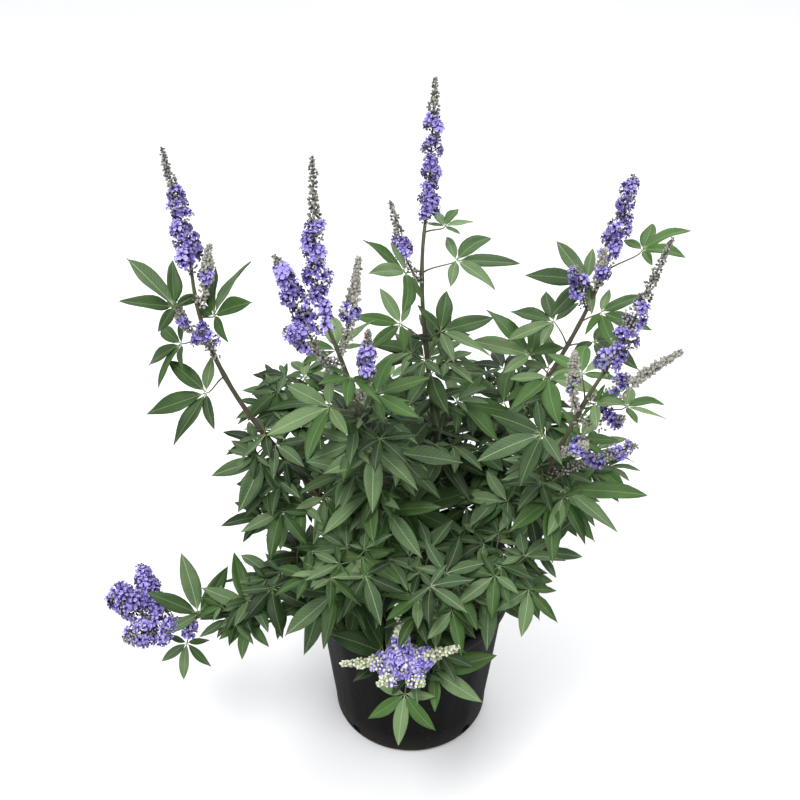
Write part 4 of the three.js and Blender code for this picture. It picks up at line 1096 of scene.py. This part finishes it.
def add_tuft(bm, course, place, turn, tuft, rng):
    """Open florets round the outer side of a stalked tuft, and buds and calyxes beneath them."""
    point, along, across, over = course.frame(place)
    out = across * math.cos(turn) + over * math.sin(turn)
    look = (out + along * tuft["rise"]).normalized()
    centre = point + look * tuft["reach"]
    size = Matrix.Diagonal((TWIG_WIDTH, TWIG_WIDTH, tuft["reach"], 1))
    set_on(bm, twig, point, look, along, size, TWIG_TONE)
    side = along.cross(look).normalized()
    up = look.cross(side)
    total = tuft["florets"] + tuft["buds"]
    for index in range(total):
        tilt = 1 - WRAP * (index + 0.5) / total
        flat, spin = math.sqrt(1 - tilt * tilt), index * TURN_BETWEEN + turn * 3
        lean = look * tilt + side * (flat * math.cos(spin)) + up * (TALLER * flat * math.sin(spin))
        way = lean + along * DRAWN_UP
        chance = OPEN_FRONT if index < total * FRONT_SHARE else OPEN_BEHIND
        is_open = rng.random() < tuft["florets"] / total * chance
        spot = centre + way * tuft["radius"] * rng.uniform(*IN_OR_OUT)
        own = tuft["sizes"][0 if is_open else 1] * rng.uniform(*ITEM_SIZES)
        shift = Vector([rng.uniform(-AIM_SHIFT, AIM_SHIFT) for axis in "xyz"])
        aim = (way + look * 0.3 + shift).normalized()
        if is_open:
            spot -= aim * own * SUNK
        tone = rng.uniform(*TONES) + (0 if is_open else tuft["pale"])
        set_on(bm, floret if is_open else bud, spot, aim, look + along * 0.8,
               Matrix.Scale(own, 4), tone)


print("twig faces:", len(twig.polygons))

# %% [markdown]
# ## Three kinds of tuft
# A tuft holds open flowers with buds among them, or buds alone, or the calyxes that flowers have
# left. Its sizes in millimetres, and how many flowers it has, run from the foot of its stretch of
# the spike to the end of it. Some tufts have more open flowers than others, as on a real spike.

# %% Describe the tufts
SHARES_OPEN, BUD_TONES, CREAM_LARGER = (0.45, 0.8, 1, 1, 1.15), (-0.2, 0.4), 1.15
BLOOM = {"reach": (11, 5), "radius": (9.0, 4.4), "florets": (12, 6), "floret": (8.6, 7.2),
         "bud": (3.0, 2.5)}
BUDS = {"reach": (3.6, 0.6), "radius": (2.9, 1.2), "buds": (9, 5), "bud": (3.7, 2.2)}
OLD = {"reach": 4.5, "radius": 3.4, "buds": 6, "bud": 2.8}


def bloom_tuft(age, big, stem, rng):
    """Open flowers, which are fewer and smaller at an age of 1 than at an age of 0."""
    now = {name: lerp(*ends, age) for name, ends in BLOOM.items()}
    fresh = stem["opened"] * rng.choice(SHARES_OPEN)
    return {"reach": now["reach"] * MM * big, "radius": now["radius"] * MM * big, "rise": 0.45,
            "florets": max(2, round(now["florets"] * big * fresh)),
            "buds": round(10 * big * (1.6 - fresh)) + 3,
            "sizes": (now["floret"] * MM * (CREAM_LARGER if stem["cream"] else 1),
                      now["bud"] * MM * stem["plump"]),
            "pale": rng.choice(BUD_TONES)}


def bud_tuft(above, big, stem):
    """Buds, which are small at the tip of a spike, where above is 1."""
    now = {name: lerp(*ends, above) for name, ends in BUDS.items()}
    return {"reach": now["reach"] * MM * big, "radius": now["radius"] * MM * big, "rise": 0.6,
            "florets": 0, "buds": round(now["buds"] * stem["plump"]),
            "sizes": (0, now["bud"] * MM * stem["plump"]), "pale": stem["pale"] - 0.1}


def old_tuft(big, stem):
    """What is left below the flowers."""
    return {"reach": OLD["reach"] * MM * big, "radius": OLD["radius"] * MM * big, "rise": 0.4,
            "florets": 0, "buds": OLD["buds"], "sizes": (0, OLD["bud"] * MM * stem["plump"]),
            "pale": stem["pale"] + 0.1}


print("a pair of open tufts is", 2 * (BLOOM["reach"][0] + BLOOM["radius"][0]), "mm from end to end")

# %% [markdown]
# ## Tufts along a spindle
# At each node two tufts stand on short stalks, one on either side, and the next node's pair stands
# a quarter turn round. The nodes come closer together towards the tip. Tufts differ in size, and
# the dark spindle shows between them.

# %% Fill a spike
FIRST_TUFT, TURN_SHIFT, CLOSER_ABOVE, CLOSER_IF_SMALL = 3 * MM, 0.35, 0.62, 0.6
BUD_STEP, TIP_STEP, OLD_STEP, STEP_SHIFT = 9.5, 5, 9, (0.85, 1.15)
SIZES_OF_TUFTS, SIZE_SHIFT = (0.55, 0.85, 1, 1, 1.15), (0.92, 1.08)


def fill_spike(bm, stem, course, bloom, share, rng):
    length = course.length()
    distance, number = FIRST_TUFT, 0
    quarter = rng.uniform(0, 0.8)
    while distance < length:
        place = distance / length
        age = min(1, max(0, (place - bloom[0]) / (bloom[1] - bloom[0]))) * stem["taper"]
        above = max(0, (place - bloom[1]) / (1.001 - bloom[1]))
        in_bloom = bloom[0] <= place <= bloom[1]
        for half in range(2):
            turn = quarter + (number / 2 + half) * math.pi + rng.uniform(-TURN_SHIFT, TURN_SHIFT)
            big = rng.choice(SIZES_OF_TUFTS) * rng.uniform(*SIZE_SHIFT)
            if in_bloom:
                tuft = bloom_tuft(age, big * share, stem, rng)
            elif above > 0:
                tuft = bud_tuft(above, big, stem)
            else:
                tuft = old_tuft(big * share, stem)
            add_tuft(bm, course, place, turn, tuft, rng)
        if in_bloom:
            step = stem["spacing"] * lerp(1.0, CLOSER_ABOVE, age) * lerp(CLOSER_IF_SMALL, 1, share)
        else:
            step = lerp(BUD_STEP, TIP_STEP, above) if above > 0 else OLD_STEP
        distance += step * MM * rng.uniform(*STEP_SHIFT)
        number += 1


print("tufts of buds stand", BUD_STEP, "to", TIP_STEP, "mm apart")

# %% [markdown]
# ## The courses of the spikes
# The end spike carries on from its stem, and side spikes leave the stem at a slant and bend
# upwards. Flowers and buds reach a little past the end of a spindle, so each spindle ends short of
# the solid's tip.

# %% Lay out the courses of the spikes
FLOWERING_TIP, FLORET_ROOM, BUD_ROOM = 0.85, 13, 3


def set_back(point, tip, bloom):
    """The tip of a spike, drawn back so that its last buds or florets end where the solid ends."""
    end = in_metres(tip)
    room = FLORET_ROOM if bloom[1] > FLOWERING_TIP else BUD_ROOM
    return end - (end - point).normalized() * room * MM


def end_spike_course(stem):
    point, along, across, over = stem["course"].frame(1)
    end = set_back(point, stem["tip"], stem["bloom"])
    length = (end - point).length
    return Course(point, point + along * length / 3, lerp(point, end, 0.7), end)


def side_spike_course(stem, at, tip, bloom):
    point, along, across, over = stem["course"].frame(at)
    end = set_back(point, tip, bloom)
    out = end - point
    out = (out - along * out.dot(along)).normalized()
    start = point + out * lerp(stem["radii"][0], stem["radii"][1], at) * 0.6
    slant = (out + along).normalized()
    length = (end - start).length
    return Course(start, start + slant * length / 3, lerp(start, end, 0.7), end)


end_spikes = [end_spike_course(stem) for stem in stems if stem["tip"]]
print("end spikes in mm:", [round(course.length() / MM) for course in end_spikes])

# %% [markdown]
# ## Build the spikes
# A side spike that has hardly begun to flower has plumper and paler buds. The two low heads flower
# from near the feet of their side spikes, so that these close up: into a cluster at the left, and
# at the front into a dome with cream ends.

# %% Make a piece for each spike
END_SEEDS, SIDE_SEEDS = 400, 500
SPINDLE_FOOT, SPINDLE_TIP, SPINDLE_TONES = 1.3 * MM, 0.5 * MM, (0.1, 0.5)
LOW_LEFT_BLOOM = (0.15, 0.85)
CREAM_BLOOMS = ((0.0, 0.45), (0.0, 0.45), (0.0, 0.6), (0.0, 0.6))
BUDDING, YOUNG_LOOK = 0.25, {"plump": 1.3, "pale": 0.45}


def make_spike(stem, name, course, radius, bloom, share, seed):
    bm = bmesh.new()
    add_rod(bm, spindle_rod, course, (radius, SPINDLE_TIP), SPINDLE_TONES, BARK_SLOT)
    fill_spike(bm, stem, course, bloom, share, random.Random(seed))
    buds = bud_cream if stem["cream"] else bud_grey
    petals = petal_pale if stem["cream"] else petal
    return add_piece("bloom_" + name, bm, [petals, buds, bark], ["spike_" + name])


spikes = []
for number, stem in enumerate(stem for stem in stems if stem["tip"]):
    name = stem["name"]
    spikes.append(make_spike(stem, name, end_spikes[number], stem["radii"][1], stem["bloom"],
                             stem["florets"], END_SEEDS + number))
    for index, ((at, tip, bloom), share) in enumerate(zip(stem["sides"], stem["shares"])):
        course = side_spike_course(stem, at, tip, bloom)
        look = stem
        if stem["cream"]:
            bloom = CREAM_BLOOMS[index]
        elif name == "low_left":
            bloom = LOW_LEFT_BLOOM
        elif bloom[1] - bloom[0] < BUDDING:
            look = {**stem, **YOUNG_LOOK}
        spikes.append(make_spike(look, f"{name}_side_{index + 1}", course, SPINDLE_FOOT, bloom, share,
                                 SIDE_SEEDS + number * 10 + index))
print(len(spikes), "spikes with", sum(len(piece.data.polygons) for piece in spikes), "faces")

# %% [markdown]
# ## The crown
# The stems fork from a short, knuckled crown that years of cutting back have thickened. It is built
# from a root, a knuckle and a flared foot for each stem, and a remesh turns these into one skin, as
# bark grows over a fork. A little noise then roughens it.

# %% Grow the crown
ROOT_FOOT, ROOT_RADIUS, ROOT_LENGTH, ROOT_MIDDLE = 9.6 * MM, 12 * MM, 60 * MM, 190 * MM
KNUCKLE_RADIUS, KNUCKLE_SQUASH, KNUCKLE_HEIGHT = 17 * MM, 0.7, 231 * MM
FLARE_LENGTH, FLARE_FOOT, FLARE_END = 50 * MM, 1.45, 0.97
BARK_GRAIN, BARK_ROUGHNESS, BARK_LUMPS = 1.6 * MM, 1.1 * MM, 90


def with_modifiers(shape):
    """The shape of an object with its modifiers, as a bmesh. The object is removed."""
    mesh = bpy.data.meshes.new_from_object(shape.evaluated_get(bpy.context.evaluated_depsgraph_get()))
    bpy.data.objects.remove(shape)
    bm = bmesh.new()
    bm.from_mesh(mesh)
    bpy.data.meshes.remove(mesh)
    return bm


def grown_over(bm, name, voxel):
    """One closed skin over everything in a bmesh."""
    shape = new_object(name, bm)
    remesh = shape.modifiers.new("skin", "REMESH")
    remesh.mode = "VOXEL"
    remesh.voxel_size = voxel
    soften = shape.modifiers.new("soften", "SMOOTH")
    soften.iterations = 4
    return with_modifiers(shape)


bm = bmesh.new()
root = bmesh.ops.create_cone(bm, cap_ends=True, segments=24, radius1=ROOT_FOOT, radius2=ROOT_RADIUS,
                             depth=ROOT_LENGTH)["verts"]
bmesh.ops.translate(bm, verts=root, vec=UP * ROOT_MIDDLE)
knuckle = bmesh.ops.create_icosphere(bm, subdivisions=3, radius=KNUCKLE_RADIUS)["verts"]
bmesh.ops.scale(bm, verts=knuckle, vec=(1, 1, KNUCKLE_SQUASH))
bmesh.ops.translate(bm, verts=knuckle, vec=UP * KNUCKLE_HEIGHT)
for stem in stems:
    whole, radius = stem["course"], stem["radii"][0]
    share = FLARE_LENGTH / whole.length()
    flare = Course(*(whole.frame(share * third / 3)[0] for third in range(4)))
    add_rod(bm, thick_rod, flare, (radius * FLARE_FOOT, radius * FLARE_END), (0, 0))
bm = grown_over(bm, "crown_shape", BARK_GRAIN)
for vertex in bm.verts:
    vertex.co += vertex.normal * (noise.noise(vertex.co * BARK_LUMPS) * BARK_ROUGHNESS)
smooth(bm)
crown = add_piece("crown_wood", bm, [bark], ["crown"])
print("crown faces:", len(crown.data.polygons))

# %% [markdown]
# ## The soil
# The pot is filled with a coarse bark mix, a little heaped in the middle. A profile is spun into a
# disc, the disc is raised and dented by noise, and its edge is drawn down into a closed body.

# %% Fill the pot with soil
SOIL_EDGE, SOIL_TOP, SOIL_DOME, SOIL_BOTTOM = 129.4 * MM, 212 * MM, 8 * MM, 190 * MM
SOIL_NOISE = ((2.2, 45), (1.3, 140))


def soil_height(x, y):
    share = min(1, math.hypot(x, y) / SOIL_EDGE)
    spot = Vector((x, y, 0))
    rough = sum(height * noise.noise(spot * scale) for height, scale in SOIL_NOISE)
    return SOIL_TOP + SOIL_DOME * (1 - share * share) + rough * MM * (1 - share ** 6)


bm = bmesh.new()
spine = [bm.verts.new((SOIL_EDGE * step / 36, 0, 0)) for step in range(37)]
line = [bm.edges.new(pair) for pair in zip(spine, spine[1:])]
bmesh.ops.spin(bm, geom=spine + line, cent=(0, 0, 0), axis=(0, 0, 1), angle=math.tau, steps=96,
               use_merge=True)
bmesh.ops.remove_doubles(bm, verts=bm.verts, dist=1e-6)
skirt = [edge for edge in bm.edges if edge.is_boundary]
for vertex in bm.verts:
    vertex.co.z = soil_height(vertex.co.x, vertex.co.y)
bottom = bmesh.ops.extrude_edge_only(bm, edges=skirt)
for vertex in added(bottom, bmesh.types.BMVert):
    vertex.co.z = SOIL_BOTTOM
bmesh.ops.contextual_create(bm, geom=[edge for edge in bm.edges if edge.is_boundary])
bmesh.ops.recalc_face_normals(bm, faces=bm.faces)
smooth(bm)
ground = finished_mesh("ground", bm)
print("ground faces:", len(ground.polygons))

# %% [markdown]
# ## Chips of bark
# A few hundred chips lie on the soil, each turned and tilted its own way. One bevelled block is
# stretched to a new size for each. The middle stays bare, because the crown stands there.

# %% Scatter the chips
CHIPS, CHIP_LENGTHS, CHIP_BREADTHS, CHIP_DEPTHS = 520, (5, 14), (3, 7), (1.5, 4)
CHIP_TILT, CHIP_RISE = 0.6, 0.6 * MM
BARE_MIDDLE, CHIPS_REACH = 15 * MM, 0.95

chip_bm = bmesh.new()
bmesh.ops.create_cube(chip_bm, size=1)
bmesh.ops.bevel(chip_bm, geom=chip_bm.edges[:] + chip_bm.verts[:], offset=0.16, segments=1,
                profile=0.5, affect="EDGES", material=-1)
chip = finished_mesh("chip", chip_bm)
bm = bmesh.new()
bm.from_mesh(ground)
rng = random.Random(11)
for number in range(CHIPS):
    far, turn = SOIL_EDGE * math.sqrt(rng.random()) * CHIPS_REACH, rng.uniform(0, math.tau)
    x, y = far * math.cos(turn), far * math.sin(turn)
    if far < BARE_MIDDLE:
        continue
    tilt = (Matrix.Rotation(rng.uniform(0, math.tau), 4, "Z")
            @ Matrix.Rotation(rng.uniform(-CHIP_TILT, CHIP_TILT), 4, "X")
            @ Matrix.Rotation(rng.uniform(-CHIP_TILT, CHIP_TILT), 4, "Y"))
    size = Matrix.Diagonal([rng.uniform(*CHIP_LENGTHS) * MM, rng.uniform(*CHIP_BREADTHS) * MM,
                            rng.uniform(*CHIP_DEPTHS) * MM, 1])
    spot = Matrix.Translation((x, y, soil_height(x, y) + CHIP_RISE))
    add_copy(bm, chip, spot @ tilt @ size, rng.uniform(0, 1))
soil = add_piece("bark_mix", bm, [soil_dark], ["soil"])
print("soil faces:", len(soil.data.polygons))

# %% [markdown]
# ## The pot
# The pot is blown from one skin of plastic, so its profile can be spun: a flat base, a rounded foot,
# a wall that leans out, and a rolled rim that stiffens it. Shallow upright flutes are pressed into
# the wall, with a fine rib down the middle of each.

# %% Spin the pot
BASE_RADIUS, NECK_RADIUS, NECK_HEIGHT, POT_WALL = 112, 134, 218, 2.6
FLUTES, FLUTE_DEPTH, RIB_HEIGHT, RIB_WIDTH, DENTS = 16, 1.25, 0.7, 0.9, 0.5
FLUTE_FOOT, FLUTE_TOP, FOOT_FADE, TOP_FADE = 10, 214, 10, 8


def wall(height):
    """The radius of the plain wall, in millimetres like the height."""
    return lerp(BASE_RADIUS, NECK_RADIUS, height / NECK_HEIGHT)


bm = bmesh.new()
outer = [(0, 0), (60, 0), (101, 0), (105, 0), (108.5, 1.2), (111.3, 3.6), (112.6, 7)]
outer += [(wall(height), height) for height in range(12, 214, 8)]
outer += [(134, 218), (136, 218.3), (138.5, 219.5), (139.5, 222), (140, 228), (140, 236),
          (139.3, 238.6), (138, 239.8), (136.4, 240), (135, 239.4)]
inner = [(134.2, 236), (133.6, 224), (131.8, 215.6)]
inner += [(wall(height) - POT_WALL, height) for height in (200, 160, 120, 80, 40, 12)]
inner += [(102, 2.4), (50, 2.4), (0, 2.4)]
points = [bm.verts.new((radius * MM, 0, height * MM)) for radius, height in outer + inner]
line = [bm.edges.new(pair) for pair in zip(points, points[1:])]
bmesh.ops.spin(bm, geom=points + line, cent=(0, 0, 0), axis=(0, 0, 1), angle=math.tau, steps=256,
               use_merge=True)
bmesh.ops.remove_doubles(bm, verts=bm.verts, dist=1e-6)
bmesh.ops.recalc_face_normals(bm, faces=bm.faces)
for vertex in bm.verts:
    x, y, z = vertex.co / MM
    radius, turn = math.hypot(x, y), math.atan2(y, x)
    if radius > wall(z) - 1 and FLUTE_FOOT < z < FLUTE_TOP:
        fade = min(1, (z - FLUTE_FOOT) / FOOT_FADE, (FLUTE_TOP - z) / TOP_FADE)
        flute = 0.5 - 0.5 * math.cos(FLUTES * turn)
        rib = max(0, math.cos(FLUTES * turn + math.pi) - RIB_WIDTH) * 4
        depth = FLUTE_DEPTH * flute ** 0.7 - RIB_HEIGHT * rib
        dent = DENTS * noise.noise(vertex.co * 11)
        radius = (radius + min(0, dent - depth) * fade) * MM
        vertex.co.x, vertex.co.y = radius * math.cos(turn), radius * math.sin(turn)
smooth(bm)
shape = new_object("pot_shape", bm)
print("the pot is", POT_WALL, "mm thick and has", FLUTES, "flutes")

# %% [markdown]
# ## The drain holes
# Water leaves the pot through four holes at its foot, where wall and base meet. Four rods are laid
# through the wall and cut from it. The mesh that the cut gives becomes the piece.

# %% Cut the drain holes
DRAIN_HOLES, DRAIN_RADIUS, DRAIN_DEPTH, DRAIN_HEIGHT = 4, 8 * MM, 30 * MM, 13 * MM

bm = bmesh.new()
for quarter in range(DRAIN_HOLES):
    drill = bmesh.ops.create_cone(bm, cap_ends=True, segments=24, radius1=DRAIN_RADIUS,
                                  radius2=DRAIN_RADIUS, depth=DRAIN_DEPTH)["verts"]
    bmesh.ops.rotate(bm, verts=drill, cent=(0, 0, 0), matrix=Matrix.Rotation(math.pi / 2, 3, "Y"))
    bmesh.ops.translate(bm, verts=drill, vec=(BASE_RADIUS * MM, 0, DRAIN_HEIGHT))
    bmesh.ops.rotate(bm, verts=drill, cent=(0, 0, 0),
                     matrix=Matrix.Rotation((quarter + 0.5) * math.tau / DRAIN_HOLES, 3, "Z"))
drills = new_object("drills", bm)
cut = shape.modifiers.new("drain_holes", "BOOLEAN")
cut.object = drills
cut.solver = "EXACT"
bm = with_modifiers(shape)
bpy.data.objects.remove(drills)
pot = add_piece("nursery_pot", bm, [pot_black], ["pot"])
print("pot faces:", len(pot.data.polygons))

# %% [markdown]
# ## Finish
# The shapes that were made only to be copied are removed. The dressed plant must stay inside the
# solid model's box.

# %% Remove the shapes that were copied
for mesh in [*leaflets, *small_leaflets, thick_rod, spindle_rod, stalk_rod, floret, bud, ground, chip]:
    bpy.data.meshes.remove(mesh)
